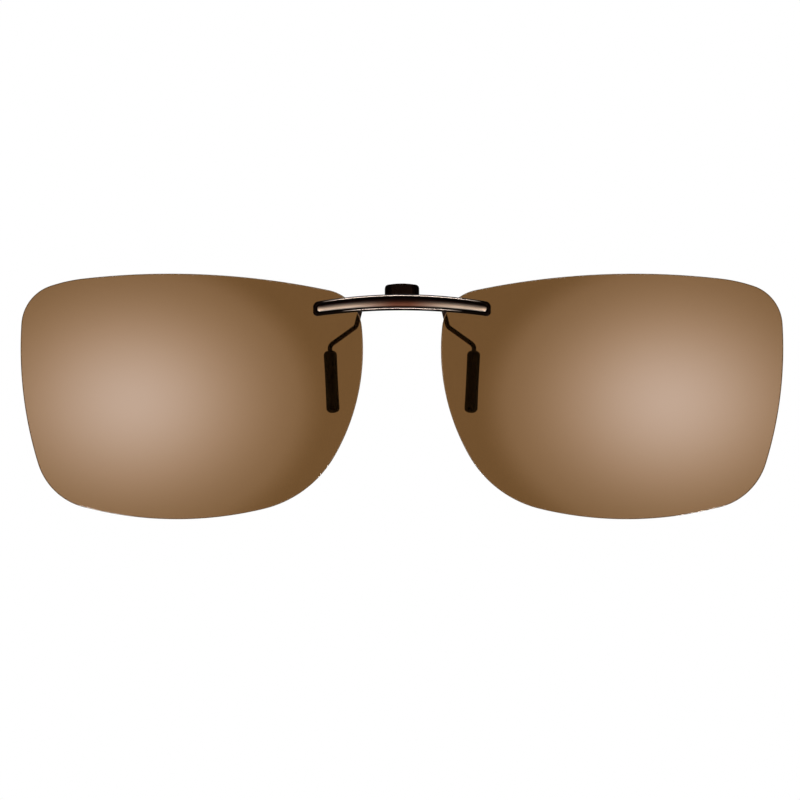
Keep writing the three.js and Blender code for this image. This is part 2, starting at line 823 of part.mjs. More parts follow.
addPiece(model, "bridge_bar", geometryOf(barSolid()), finishes.bar);
addPiece(model, "hinge_bracket", geometryOf(bracketSolid()), finishes.hardware);

const clip = new THREE.Group();
model.add(clip);
addPiece(clip, "clip_lever", geometryOf(leverSolid()), finishes.hardware);

const springSteps = round.small * (spring.turns + 1);
const springCoil = swept(new SpringPath(), spring.wire, springSteps, round.springSides);
addPiece(model, "torsion_spring", springCoil, finishes.steel);

const pin = addPiece(model, "hinge_pin", pinGeometry(), finishes.steel);
pin.position.y = hinge.setback;

const lensGeometry = geometryOf(lensSolid());
const padGeometry = geometryOf(padSolid());
const gasketGeometry = geometryOf(gasketSolid());
const plateGeometry = geometryOf(clampPlateSolid());
const armGeometry = swept(armPath(), arm.wire, round.armSteps, round.armSides);
const sleeveBody = sleeveGeometry();

// Everything that comes in pairs is made for the wearer's left and mirrored for the right.
for (const [side, mirror] of [["left", 1], ["right", -1]]) {
  const front = new THREE.Group();
  front.scale.x = mirror;
  model.add(front);
  addPiece(front, `lens_${side}`, lensGeometry, finishes.lens);
  addPiece(front, `lens_pad_${side}`, padGeometry, finishes.silicone);
  addPiece(front, `lens_gasket_${side}`, gasketGeometry, finishes.silicone);
  addPiece(front, `clamp_plate_${side}`, plateGeometry, finishes.hardware);
  screwPlaces.forEach((at, i) => {
    const place = ["inner", "outer"][i];
    addPiece(front, `lens_bushing_${side}_${place}`, geometryOf(bushingSolid(at)), finishes.silicone);
    addPiece(front, `lens_screw_${side}_${place}`, geometryOf(screwSolid(at)), finishes.steel);
  });

  const jaw = new THREE.Group();
  jaw.scale.x = mirror;
  clip.add(jaw);
  addPiece(jaw, `arm_wire_${side}`, armGeometry, finishes.hardware);
  const grip = addPiece(jaw, `grip_sleeve_${side}`, sleeveBody, finishes.rubber);
  grip.position.copy(sleeveTop);
  grip.quaternion.setFromUnitVectors(new THREE.Vector3(0, -1, 0), sleeveAxis);
}

export default model;
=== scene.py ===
"""Clip-on sunglasses: two rimless tinted lenses on an arched bar, with a sprung clip behind.

The front faces -Y, the wearer is at +Y, and left is the wearer's, at +X. Meshes are drawn in
millimetres and scaled to metres when they are made.
"""

import math

import bmesh
import bpy
import numpy as np
from mathutils import Matrix, Vector


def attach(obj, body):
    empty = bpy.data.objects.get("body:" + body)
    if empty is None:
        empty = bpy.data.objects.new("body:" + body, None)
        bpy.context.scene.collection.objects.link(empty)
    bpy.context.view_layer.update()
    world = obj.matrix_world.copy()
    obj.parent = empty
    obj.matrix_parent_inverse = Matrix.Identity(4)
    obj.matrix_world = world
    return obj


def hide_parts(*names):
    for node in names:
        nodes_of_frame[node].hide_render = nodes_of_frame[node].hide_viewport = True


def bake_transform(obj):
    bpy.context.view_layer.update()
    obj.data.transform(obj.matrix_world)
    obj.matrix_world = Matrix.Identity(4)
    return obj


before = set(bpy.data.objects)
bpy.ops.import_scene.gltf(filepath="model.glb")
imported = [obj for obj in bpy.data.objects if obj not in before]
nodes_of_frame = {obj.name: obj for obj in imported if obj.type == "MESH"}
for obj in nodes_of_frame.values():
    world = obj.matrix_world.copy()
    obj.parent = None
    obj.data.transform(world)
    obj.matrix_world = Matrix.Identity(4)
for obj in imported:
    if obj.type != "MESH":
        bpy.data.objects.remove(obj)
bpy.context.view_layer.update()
MM = 0.001

# ------------------------------------------------------------------------------ camera
# A long lens straight in front of the clip-on, level with the middle of the lenses.
VIEW_WIDTH = 145.9
VIEW_CENTRE = (-0.36, -17.8)
LENS_LENGTH = 500
SENSOR = 36

camera_data = bpy.data.cameras.new("camera")
camera_data.lens = LENS_LENGTH
camera_data.sensor_width = SENSOR
camera_distance = VIEW_WIDTH * LENS_LENGTH / SENSOR
camera_data.clip_end = 20
camera = bpy.data.objects.new("camera", camera_data)
camera.location = Vector((VIEW_CENTRE[0], -camera_distance, VIEW_CENTRE[1])) * MM
camera.rotation_euler = (math.pi / 2, 0, 0)
bpy.context.collection.objects.link(camera)
bpy.context.scene.camera = camera
bpy.context.scene.view_settings.view_transform = "Standard"

# ------------------------------------------------------------------------------ studio
# A white room with a pale floor well below. A curved black flag, which only reflections see, keeps
# polished metal and the lenses from turning white. Soft strips above and below light the bar and
# the wires. The lamps that glow in the lenses are made with the lenses.


def linear(hex_colour):
    """An sRGB hex colour as linear red, green, blue and alpha."""
    values = [int(hex_colour[i : i + 2], 16) / 255 for i in (1, 3, 5)]
    return (*[v / 12.92 if v <= 0.04045 else ((v + 0.055) / 1.055) ** 2.4 for v in values], 1)


def add_node(tree, kind, settings=(), inputs=(), links=()):
    """Adds one node: its settings, the values of its inputs, and links into its inputs."""
    node = tree.nodes.new(kind)
    for name, value in dict(settings).items():
        setattr(node, name, value)
    for name, value in dict(inputs).items():
        node.inputs[name].default_value = value
    for name, source in dict(links).items():
        tree.links.new(source, node.inputs[name])
    return node


def new_material(name):
    """An empty node material and its tree."""
    material = bpy.data.materials.new(name)
    material.use_nodes = True
    material.node_tree.nodes.clear()
    return material, material.node_tree


def close_material(tree, kind, inputs=(), links=()):
    """Adds the last shader of a material and links it to the output."""
    shader = add_node(tree, kind, inputs=inputs, links=links)
    add_node(tree, "ShaderNodeOutputMaterial", links={"Surface": shader.outputs[0]})


def own_place(tree):
    """Places in a piece's own coordinates, in metres."""
    return add_node(tree, "ShaderNodeTexCoord").outputs["Object"]


def stretched_place(tree, sizes, turn=0.0):
    """Places divided by a size along each axis, then turned about Y."""
    values = {"Rotation": (0, turn, 0), "Scale": [1 / size for size in sizes]}
    node = add_node(tree, "ShaderNodeMapping", inputs=values, links={"Vector": own_place(tree)})
    return node.outputs["Vector"]


def axis_of(tree, vector, axis):
    """One of the three numbers of a vector."""
    return add_node(tree, "ShaderNodeSeparateXYZ", links={"Vector": vector}).outputs[axis]


def noise(tree, size, detail, place=None, roughness=0.5):
    """Noise with features about a size across, in metres unless another place is given."""
    values = {"Scale": 1 / size, "Detail": detail, "Roughness": roughness}
    place = own_place(tree) if place is None else place
    return add_node(tree, "ShaderNodeTexNoise", inputs=values, links={"Vector": place}).outputs["Fac"]


def number(tree, operation, *terms):
    """A sum on numbers and sockets."""
    fixed = {i: term for i, term in enumerate(terms) if isinstance(term, (int, float))}
    linked = {i: term for i, term in enumerate(terms) if i not in fixed}
    return add_node(tree, "ShaderNodeMath", {"operation": operation}, fixed, linked).outputs[0]


def ramp(tree, value, start=0.0, end=1.0, low=0.0, high=1.0, eased=False):
    """A number that goes from low to high while a value goes from start to end."""
    kind = {"interpolation_type": "SMOOTHSTEP" if eased else "LINEAR"}
    values = {"From Min": start, "From Max": end, "To Min": low, "To Max": high}
    node = add_node(tree, "ShaderNodeMapRange", kind, values, {"Value": value})
    return node.outputs["Result"]


def mixed(tree, factor, a, b):
    """A colour that goes from a to b, each a hex colour or a socket."""
    ends = {"A": a, "B": b}
    fixed = {name: linear(end) for name, end in ends.items() if isinstance(end, str)}
    linked = {name: end for name, end in ends.items() if name not in fixed}
    links = {"Factor": factor, **linked}
    node = add_node(tree, "ShaderNodeMix", {"data_type": "RGBA"}, fixed, links)
    return node.outputs["Result"]


def bumped(tree, height, strength, depth):
    """A surface normal moved by a height, for dents up to a depth in metres."""
    values = {"Strength": strength, "Distance": depth}
    return add_node(tree, "ShaderNodeBump", inputs=values, links={"Height": height}).outputs["Normal"]


def new_object(name, mesh):
    """Puts a mesh in the scene at the origin."""
    made = bpy.data.objects.new(name, mesh)
    bpy.context.collection.objects.link(made)
    return made


world = bpy.data.worlds.new("white_room")
bpy.context.scene.world = world
world.use_nodes = True
world.node_tree.nodes["Background"].inputs["Color"].default_value = (1, 1, 1, 1)
world.node_tree.nodes["Background"].inputs["Strength"].default_value = 1.0

FLOOR_DROP = 2.6
FLOOR_SIZE = 14
FLOOR_MOTTLE = 1 / 3

floor_finish, tree = new_material("painted_studio_floor")
paint = mixed(tree, noise(tree, FLOOR_MOTTLE, 3.0), "#f4f3f1", "#f9f8f7")
close_material(tree, "ShaderNodeBsdfPrincipled", {"Roughness": 0.8}, {"Base Color": paint})

bpy.ops.mesh.primitive_plane_add(size=FLOOR_SIZE, location=(0, 0, -FLOOR_DROP))
floor = bpy.context.object
floor.name = "floor"
floor.data.materials.append(floor_finish)

FLAG_RADIUS = 1.5
FLAG_RISE = 4.5
FLAG_SPREAD = math.radians(170)
FLAG_SOLID = math.radians(100)
FLAG_COLUMNS = 49

# Black in front of the clip-on, and fading to the white of the room behind it.
flag_finish, tree = new_material("black_velvet_flag")
flag_light = ramp(
    tree,
    axis_of(tree, own_place(tree), "Y"),
    start=-FLAG_RADIUS * math.cos(FLAG_SOLID),
    end=-FLAG_RADIUS * math.cos(FLAG_SPREAD),
    eased=True,
)
close_material(tree, "ShaderNodeEmission", {"Color": (1, 1, 1, 1)}, {"Strength": flag_light})

flag_mesh = bmesh.new()
flag_rows = []
for around in np.linspace(-FLAG_SPREAD, FLAG_SPREAD, FLAG_COLUMNS):
    place = Vector((FLAG_RADIUS * math.sin(around), -FLAG_RADIUS * math.cos(around), 0))
    flag_rows.append([flag_mesh.verts.new(place + Vector((0, 0, z))) for z in (-FLAG_RISE, FLAG_RISE)])
for (low, high), (next_low, next_high) in zip(flag_rows, flag_rows[1:]):
    flag_mesh.faces.new((low, next_low, next_high, high))
flag_data = bpy.data.meshes.new("flag")
flag_mesh.to_mesh(flag_data)
flag = new_object("flag", flag_data)
flag.data.materials.append(flag_finish)
for ray in ("camera", "transmission", "diffuse", "shadow", "volume_scatter"):
    setattr(flag, f"visible_{ray}", False)


def add_strip(name, place, size, power, colour):
    """A soft rectangular light that points at the object."""
    data = bpy.data.lights.new(name, "AREA")
    data.shape = "RECTANGLE"
    data.size, data.size_y = size
    data.energy = power
    data.color = linear(colour)[:3]
    strip = bpy.data.objects.new(name, data)
    strip.location = place
    strip.rotation_euler = (-Vector(place)).to_track_quat("-Z", "Y").to_euler()
    strip.visible_camera = False
    strip.visible_transmission = False
    bpy.context.collection.objects.link(strip)
    return strip


add_strip("strip_above", (0, -0.95, 0.72), (1.4, 0.14), 5.5, "#fffaf6")
for side in (-1, 1):
    add_strip(f"strip_low_{side}", (side * 0.5, -1.25, -0.41), (0.9, 0.26), 2.8, "#fff6ee")
    add_strip(f"strip_side_{side}", (side * 0.66, -0.76, -0.82), (0.2, 0.2), 9, "#fff6ee")

# ------------------------------------------------------------------------------ lenses
# Two 1.2 mm sheets of tinted plastic with a polarising film, pressed to a shallow curve, cut to an
# outline of nine arcs and ground round the rim. Each has two holes for the screws of its seat.
LENS_WIDTH = 62.8
LENS_HEIGHT = 44.9
LENS_GAP = 14.2
LENS_TOP = 5.3
LENS_THICKNESS = 1.2
LENS_RADIUS = 250
LENS_WRAP = math.radians(8.9)
BOWS = {"top": 3.5, "bottom": 7.7, "outer": 3.6, "inner": 7.1}
TOP_APEX = 4.2
BOTTOM_APEX = 2.7
OUTER_APEX = 13.5
INNER_APEX = 13.9
SHOULDER_INSET = 11.6
SHOULDER_RADIUS = 30
CORNERS = {"inner_top": 7.6, "outer_top": 7.8, "outer_bottom": 11.8, "inner_bottom": 20.5}
EDGE_ROUND = 0.16
EDGE_SUPPORT = 0.02
EDGE_RINGS = 5
OUTLINE_STEP = 0.6
SKIN_RINGS = 27
SKIN_CROWDING = 1.15

BAR_LENGTH = 32.4
BAR_HEIGHT = 2.95
BAR_TOP_RADIUS = 92
BAR_BOTTOM_RADIUS = 116
SEAT_LENGTH = 5.9
SEAT_HEIGHT = 2.2
SEAT_INSET = 0.25
SCREW_PITCH = 3.3
PAD_MIN = 0.25
SEAT_GAP = 0.02
BOSS_DIAMETER = 1.5
BUSHING_WALL = 0.22

lens_middle = np.array([LENS_GAP / 2 + LENS_WIDTH / 2, LENS_TOP - LENS_HEIGHT / 2])


def corner_circle(one, two, radius, near):
    """The circle of a radius that touches two bigger circles from inside, nearest a point."""
    (c1, r1), (c2, r2) = one, two
    across = c2 - c1
    distance = np.hypot(*across)
    to_one, to_two = r1 - radius, r2 - radius
    along = (distance**2 + to_one**2 - to_two**2) / (2 * distance)
    out = math.sqrt(to_one**2 - along**2)
    unit = across / distance
    normal = np.array([-unit[1], unit[0]])
    found = [c1 + unit * along + normal * out * side for side in (1, -1)]
    return min(found, key=lambda c: np.hypot(*(c - near))), radius


def lens_outline(step):
    """Points round the left lens, clockwise from the front, about a step apart."""
    inner, outer = LENS_GAP / 2, LENS_GAP / 2 + LENS_WIDTH
    top, bottom = LENS_TOP, LENS_TOP - LENS_HEIGHT

    def bowed(chord, bow, x, z, inwards):
        """The circle of a side, from its chord, its bow, its outermost point and its way in."""
        radius = chord**2 / (8 * bow) + bow / 2
        return np.array([x, z]) + radius * np.array(inwards), radius

    middle = lens_middle[0]
    top_side = bowed(LENS_WIDTH, BOWS["top"], middle + TOP_APEX, top, (0, -1))
    bottom_side = bowed(LENS_WIDTH, BOWS["bottom"], middle + BOTTOM_APEX, bottom, (0, 1))
    inner_side = bowed(LENS_HEIGHT, BOWS["inner"], inner, top - INNER_APEX, (1, 0))
    outer_side = bowed(LENS_HEIGHT, BOWS["outer"], outer, top - OUTER_APEX, (-1, 0))
    fall = math.asin((outer - SHOULDER_INSET - top_side[0][0]) / top_side[1])
    shoulder_way = np.array([math.sin(fall), math.cos(fall)])
    shoulder = (top_side[0] + shoulder_way * (top_side[1] - SHOULDER_RADIUS), SHOULDER_RADIUS)
    inner_top = corner_circle(inner_side, top_side, CORNERS["inner_top"], (inner, top))
    outer_top = corner_circle(shoulder, outer_side, CORNERS["outer_top"], (outer, top))
    outer_bottom = corner_circle(outer_side, bottom_side, CORNERS["outer_bottom"], (outer, bottom))
    inner_bottom = corner_circle(bottom_side, inner_side, CORNERS["inner_bottom"], (inner, bottom))

    def touch(one, two):
        """The angle at which two circles meet, the same about either middle."""
        small, big = sorted((one, two), key=lambda c: c[1])
        return math.atan2(small[0][1] - big[0][1], small[0][0] - big[0][0])

    circles = [inner_top, top_side, shoulder, outer_top, outer_side]
    circles += [outer_bottom, bottom_side, inner_bottom, inner_side]
    meets = [touch(one, two) for one, two in zip(circles, circles[1:] + circles[:1])]
    points = []
    for (centre, radius), start, end in zip(circles, meets[-1:] + meets, meets):
        turn = (start - end) % (2 * math.pi)
        count = max(3, math.ceil(radius * turn / step))
        angles = start - turn * np.arange(count) / count
        points.append(centre + radius * np.column_stack([np.cos(angles), np.sin(angles)]))
    return np.concatenate(points)


def bar_middle(x):
    """Height of the middle of the bar at x."""
    drops = [r - math.sqrt(r**2 - x**2) for r in (BAR_TOP_RADIUS, BAR_BOTTOM_RADIUS)]
    return -sum(drops) / 2


seat_x = BAR_LENGTH / 2 - SEAT_INSET - SEAT_LENGTH / 2
seat_slope = math.atan((bar_middle(seat_x + 1) - bar_middle(seat_x - 1)) / 2)


def on_seat(along, across):
    """A point of the left seat as x and z, from its middle along the bar and across it."""
    c, s = math.cos(seat_slope), math.sin(seat_slope)
    return np.array([seat_x + along * c - across * s, bar_middle(seat_x) + along * s + across * c])


def lens_y(x, z, depth=0.0):
    """Y of the lens at x and z, at a depth behind its front surface."""
    centre_x = lens_middle[0] - LENS_RADIUS * math.sin(LENS_WRAP)
    centre_y = lens_apex + LENS_RADIUS * math.cos(LENS_WRAP)
    out = (x - centre_x) ** 2 + (z - lens_middle[1]) ** 2
    return centre_y - np.sqrt((LENS_RADIUS - depth) ** 2 - out)


lens_apex = 0.0
seat_corners = [on_seat(a * SEAT_LENGTH / 2, b * SEAT_HEIGHT / 2) for a in (-1, 1) for b in (-1, 1)]
lens_apex = PAD_MIN + 2 * SEAT_GAP - min(lens_y(*p) for p in seat_corners)
screw_places = [on_seat(share * SCREW_PITCH, 0) for share in (-0.5, 0.5)]


def mesh_from(name, build):
    """Fills a bmesh with build, makes its faces look outwards and scales it to metres."""
    body = bmesh.new()
    build(body)
    bmesh.ops.recalc_face_normals(body, faces=body.faces)
    bmesh.ops.scale(body, vec=(MM, MM, MM), verts=body.verts)
    mesh = bpy.data.meshes.new(name)
    body.to_mesh(mesh)
    body.free()
    return mesh


def skin(body, loops):
    """Faces from each closed loop of vertices to the next."""
    for one, two in zip(loops, loops[1:]):
        for i in range(len(one)):
            j = (i + 1) % len(one)
            body.faces.new((one[i], one[j], two[j], two[i]))


def add_loops(body, loops, capped=False):
    """Skins closed loops of points into a tube, and closes its ends if it is capped."""
    made = [[body.verts.new(p) for p in loop] for loop in loops]
    skin(body, made)
    if capped:
        body.faces.new(made[0])
        body.faces.new(made[-1])
    return made


def smooth(mesh, angle=35):
    """Smooth shading with edges sharper than the angle left crisp."""
    mesh.shade_smooth()
    mesh.set_sharp_from_angle(angle=math.radians(angle))


def mirrored(mesh, name):
    """The mesh for the other side of the object."""
    body = bmesh.new()
    body.from_mesh(mesh)
    bmesh.ops.scale(body, vec=(-1, 1, 1), verts=body.verts)
    bmesh.ops.reverse_faces(body, faces=body.faces)
    other = bpy.data.meshes.new(name)
    body.to_mesh(other)
    body.free()
    for material in mesh.materials:
        other.materials.append(material)
    return other


def build_lens(body):
    """Front and back skins of shrinking rings, joined by a rounded edge."""
    outline = lens_outline(OUTLINE_STEP)
    ahead = np.roll(outline, -1, axis=0) - np.roll(outline, 1, axis=0)
    inwards = np.column_stack([ahead[:, 1], -ahead[:, 0]])
    inwards /= np.hypot(*inwards.T)[:, None]
    turns = np.radians(np.linspace(0, 90, EDGE_RINGS))
    front_edge = [(EDGE_ROUND * (1 - math.sin(t)), EDGE_ROUND * (1 - math.cos(t))) for t in turns]
    back_edge = [(inset, LENS_THICKNESS - depth) for inset, depth in reversed(front_edge)]
    shares = 1 - np.linspace(0, 1, SKIN_RINGS) ** SKIN_CROWDING

    def ring(flat, depth):
        """Points of x and z laid on the lens, at a depth behind its front."""
        y = lens_y(flat[:, 0], flat[:, 1], depth)
        return [Vector((x, yy, z)) for (x, z), yy in zip(flat, y)]

    rim = outline + inwards * EDGE_ROUND
    flat = rim + inwards * EDGE_SUPPORT
    loops = [ring(lens_middle + (rim - lens_middle) * s, 0.0) for s in shares[-2:0:-1]]
    loops.append(ring(flat, 0.0))
    loops += [ring(outline + inwards * inset, depth) for inset, depth in front_edge + back_edge]
    loops.append(ring(flat, LENS_THICKNESS))
    loops += [ring(lens_middle + (rim - lens_middle) * s, LENS_THICKNESS) for s in shares[1:-1]]
    made = add_loops(body, loops)
    for loop, depth in ((made[0], 0.0), (made[-1], LENS_THICKNESS)):
        tip = body.verts.new((lens_middle[0], lens_y(*lens_middle, depth), lens_middle[1]))
        for i in range(len(loop)):
            body.faces.new((loop[i], loop[(i + 1) % len(loop)], tip))


def circle(radius, place, y, count):
    """Points of a circle that faces along Y, round x and z."""
    angles = 2 * math.pi * np.arange(count) / count
    return [
        Vector((place[0] + radius * math.cos(a), y, place[1] + radius * math.sin(a))) for a in angles
    ]


PLUG_ENDS = (-5, 8)
PLUG_SIDES = 48


def build_hole_cutters(body):
    """Two plugs where the screws go through."""
    radius = BOSS_DIAMETER / 2 + 2 * SEAT_GAP + BUSHING_WALL
    for place in screw_places:
        ends = [circle(radius, place, y, PLUG_SIDES) for y in PLUG_ENDS]
        add_loops(body, ends, capped=True)


def frozen(piece):
    """The mesh of an object as its modifiers leave it."""
    evaluated = piece.evaluated_get(bpy.context.evaluated_depsgraph_get())
    return bpy.data.meshes.new_from_object(evaluated)


def cut_with(mesh, cutter_mesh):
    """The mesh with the cutter's shape taken out of it."""
    target = new_object("cut_target", mesh)
    cutter = new_object("cut_tool", cutter_mesh)
    modifier = target.modifiers.new("cut", "BOOLEAN")
    modifier.operation = "DIFFERENCE"
    modifier.solver = "EXACT"
    modifier.object = cutter
    result = frozen(target)
    for helper in (target, cutter):
        bpy.data.objects.remove(helper)
    return result


# Each lens mirrors one oval lamp, which is brightest and palest in its middle and fades outwards.
GLOW_MIDDLE = (49.2, -18.1)
GLOW_SPREAD = (23.6, 17.6)
GLOW_FALL = 1.9
GLOW_EDGE = (1.3, 1.62)
GLOW_DISTANCE = 1200
GLOW_POWER = 9.6
GLOW_SIDES = 64

lamp_finish, tree = new_material("diffuser_cloth_lit_from_behind")
from_middle = add_node(
    tree, "ShaderNodeVectorMath", {"operation": "LENGTH"}, links={0: own_place(tree)}
).outputs["Value"]
fall = number(tree, "MULTIPLY", number(tree, "POWER", from_middle, GLOW_FALL), -1.0)
masked = ramp(tree, from_middle, GLOW_EDGE[1], GLOW_EDGE[0], eased=True)
glow = number(tree, "MULTIPLY", number(tree, "EXPONENT", fall), masked)
glow_colour = mixed(tree, glow, "#ffd0a0", "#ffe8d8")
glow_strength = number(tree, "MULTIPLY", glow, GLOW_POWER)
close_material(
    tree, "ShaderNodeEmission", links={"Color": glow_colour, "Strength": glow_strength}
)

oval = bmesh.new()
bmesh.ops.create_circle(oval, cap_ends=True, segments=GLOW_SIDES, radius=GLOW_EDGE[1])
oval_data = bpy.data.meshes.new("glow_lamp")
oval.to_mesh(oval_data)
oval_data.materials.append(lamp_finish)
spot = Vector((GLOW_MIDDLE[0], lens_y(*GLOW_MIDDLE), GLOW_MIDDLE[1]))
normal = Vector((math.sin(LENS_WRAP), -math.cos(LENS_WRAP), 0)) * LENS_RADIUS
normal = (normal + spot - Vector((lens_middle[0], lens_apex, lens_middle[1]))).normalized()
to_camera = (Vector(camera.location) / MM - spot).normalized()
mirrored_way = normal * (2 * normal.dot(to_camera)) - to_camera
widening = GLOW_DISTANCE * (2 / LENS_RADIUS + 1 / camera_distance) + 1
lamp_place = (spot + mirrored_way * GLOW_DISTANCE) * MM
for side in (-1, 1):
    lamp = new_object(f"glow_lamp_{side}", oval_data)
    lamp.scale = (GLOW_SPREAD[0] * widening * MM, GLOW_SPREAD[1] * widening * MM, 1)
    lamp.location = (side * lamp_place.x, lamp_place.y, lamp_place.z)
    way = Vector((side * mirrored_way.x, mirrored_way.y, mirrored_way.z))
    lamp.rotation_euler = way.to_track_quat("Z", "Y").to_euler()
    for ray in ("camera", "transmission", "shadow"):
        setattr(lamp, f"visible_{ray}", False)

# Brown polarising polycarbonate, pressed and hard-coated. The tint is even and clear, so what lies
# behind shows sharp and dark, and both faces mirror the lamps faintly.
lens_finish, tree = new_material("tinted_polycarbonate_hard_coated")
# The film's tint drifts a little over a few centimetres.
tint = mixed(tree, noise(tree, 0.03, 2.0, roughness=0.4), "#6e4f2e", "#735331")
# The rim and the screw holes are ground, and their colour is painted darker than the two polished
# faces, a painted shade along the edge; the faces are told apart by how far they look along Y.
POLISHED_Y, GROUND_Y = 0.92, 0.75
towards = add_node(tree, "ShaderNodeTexCoord").outputs["Normal"]
facing = number(tree, "ABSOLUTE", axis_of(tree, towards, "Y"))
# Darker at the ground rim and holes: a painted shade along the edge.
tint_and_painted_dark_rim = mixed(tree, ramp(tree, facing, POLISHED_Y, GROUND_Y), tint, "#3a2615")
# Wipe marks in the hard coat, about 0.4 mm apart, dull the gloss a little.
wipes = stretched_place(tree, (0.006, 0.006, 0.0004), math.radians(24))
wiped = ramp(tree, noise(tree, 1.0, 2.0, wipes), high=0.03)
close_material(
    tree,
    "ShaderNodeBsdfPrincipled",
    {"IOR": 1.5, "Transmission Weight": 1.0},
    {"Base Color": tint_and_painted_dark_rim, "Roughness": wiped},
)

lens_mesh = cut_with(mesh_from("lens_left", build_lens), mesh_from("holes", build_hole_cutters))
smooth(lens_mesh)
lens_mesh.materials.clear()
lens_mesh.materials.append(lens_finish)
for side, mesh in (("left", lens_mesh), ("right", mirrored(lens_mesh, "lens_right"))):
    lens = new_object(f"tinted_lens_{side}", mesh)
    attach(lens, "front")
    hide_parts(f"lens_{side}")

# ------------------------------------------------------------------------------ bar
# One arched strip of nickel silver over the nose, milled with a bead and a groove round its front,
# brushed inside them and plated brown. Bead and groove are coloured nearly black, a painted shade,
# and a pale glossy line along the bead above and below is a painted highlight.
BAR_THICKNESS = 1.4
BAR_END_THICKNESS = 1.0
BAR_TOP_CORNER = 1.1
BAR_BOTTOM_CORNER = 0.75
BEAD = 0.55
GROOVE = 0.2
BEAD_RISE = 0.2
BEAD_SINK = 0.1
BEAD_LEAN = 0.12
INNER_CORNER = 1.6
FACE_CROWN = 0.12
FACE_END = 1.4
FACE_TILT = 0.04
GROOVE_DEPTH = 0.1
FACE_LIP = 0.15
BACK_ROUND = 0.1
BACK_ROUND_MIDDLE = 0.3
WALL_REACH = 0.05
BORE_SHARE = 0.7
BOSS_SIDES = 32
COLUMN_STEP = 0.2
END_REACH = 0.35
END_COLUMNS = 30

bar_half = BAR_LENGTH / 2
top_centre_z = BAR_HEIGHT / 2 - BAR_TOP_RADIUS
bottom_centre_z = -BAR_HEIGHT / 2 - BAR_BOTTOM_RADIUS
upper_x = bar_half - BAR_TOP_CORNER
upper_z = top_centre_z + math.sqrt((BAR_TOP_RADIUS - BAR_TOP_CORNER) ** 2 - upper_x**2)
lower_x = bar_half - BAR_BOTTOM_CORNER
lower_z = bottom_centre_z + math.sqrt((BAR_BOTTOM_RADIUS + BAR_BOTTOM_CORNER) ** 2 - lower_x**2)


def bar_top(x):
    """Height of the bar's upper edge at x, from the middle outwards."""
    if x > upper_x:
        return upper_z + math.sqrt(max(0, BAR_TOP_CORNER**2 - (x - upper_x) ** 2))
    return top_centre_z + math.sqrt(BAR_TOP_RADIUS**2 - x**2)


def bar_bottom(x):
    """Height of the bar's lower edge at x, from the middle outwards."""
    if x > lower_x:
        return lower_z - math.sqrt(max(0, BAR_BOTTOM_CORNER**2 - (x - lower_x) ** 2))
    return bottom_centre_z + math.sqrt(BAR_BOTTOM_RADIUS**2 - x**2)


def edge_distances(x, z):
    """How far a point of the bar's front is from its outline, its long sides and its end."""
    x = abs(x)
    to_top = BAR_TOP_RADIUS - math.hypot(x, z - top_centre_z)
    to_bottom = math.hypot(x, z - bottom_centre_z) - BAR_BOTTOM_RADIUS
    to_end = bar_half - x
    to_side = min(to_top, to_bottom)
    nearest = min(to_side, to_end)
    a, b = INNER_CORNER - to_side, INNER_CORNER - to_end
    if a > 0 and b > 0:
        nearest = min(nearest, INNER_CORNER - (a**3 + b**3) ** (1 / 3))
    return max(0.0, nearest), to_side, to_end


def bar_front(x, z):
    """Y of the bar's front: a bead, a groove and a crowned face, going inwards."""
    out = x / bar_half
    thickness = BAR_THICKNESS - (BAR_THICKNESS - BAR_END_THICKNESS) * out**2
    d, to_side, to_end = edge_distances(x, z)
    base = thickness - FACE_CROWN
    if d < BEAD:
        rise = math.sqrt(max(0, 1 - (2 * d / BEAD - 1) ** 2))
        lean = BEAD_LEAN * (1 - d / BEAD) if z > bar_middle(x) else 0
        return -(base - BEAD_SINK + BEAD_RISE * rise - lean), d
    if d < BEAD + GROOVE:
        share = (d - BEAD) / GROOVE
        depth = BEAD_SINK * (1 - share) + GROOVE_DEPTH * math.sin(math.pi * share)
        return -(base - depth), d
    rim = BEAD + GROOVE
    up = (z - bar_middle(x)) / (BAR_HEIGHT / 2 - rim)
    along = 1 - min(1, (to_end - rim) / FACE_END)
    lip = min(1, (d - rim) / FACE_LIP)
    crown = FACE_CROWN * max(0, 1 - up**2) * (1 - along**2) - FACE_TILT * up
    return -(base + crown * lip * (2 - lip)), d


def bar_columns():
    """Places along the bar, close together where its ends are rounded."""
    straight = list(np.arange(0, upper_x - 2 * COLUMN_STEP, COLUMN_STEP))
    turn = np.radians(np.linspace(0, 90, END_COLUMNS))
    ends = list(bar_half - (BAR_TOP_CORNER + END_REACH) * (1 - np.sin(turn)))
    half = straight + ends
    return [-x for x in reversed(half[1:])] + half


def bar_rows():
    """Shares of the bar's height, close together over the beads and the grooves."""
    turns = np.linspace(0, math.pi, 17)
    edge = list(BEAD / 2 * (1 - np.cos(turns))) + list(np.linspace(BEAD, BEAD + GROOVE, 7))[1:]
    inside = list(np.linspace(BEAD + GROOVE, BAR_HEIGHT / 2, 13))[1:]
    lower = [z / BAR_HEIGHT for z in edge + inside]
    return lower + [1 - v for v in reversed(lower[:-1])]


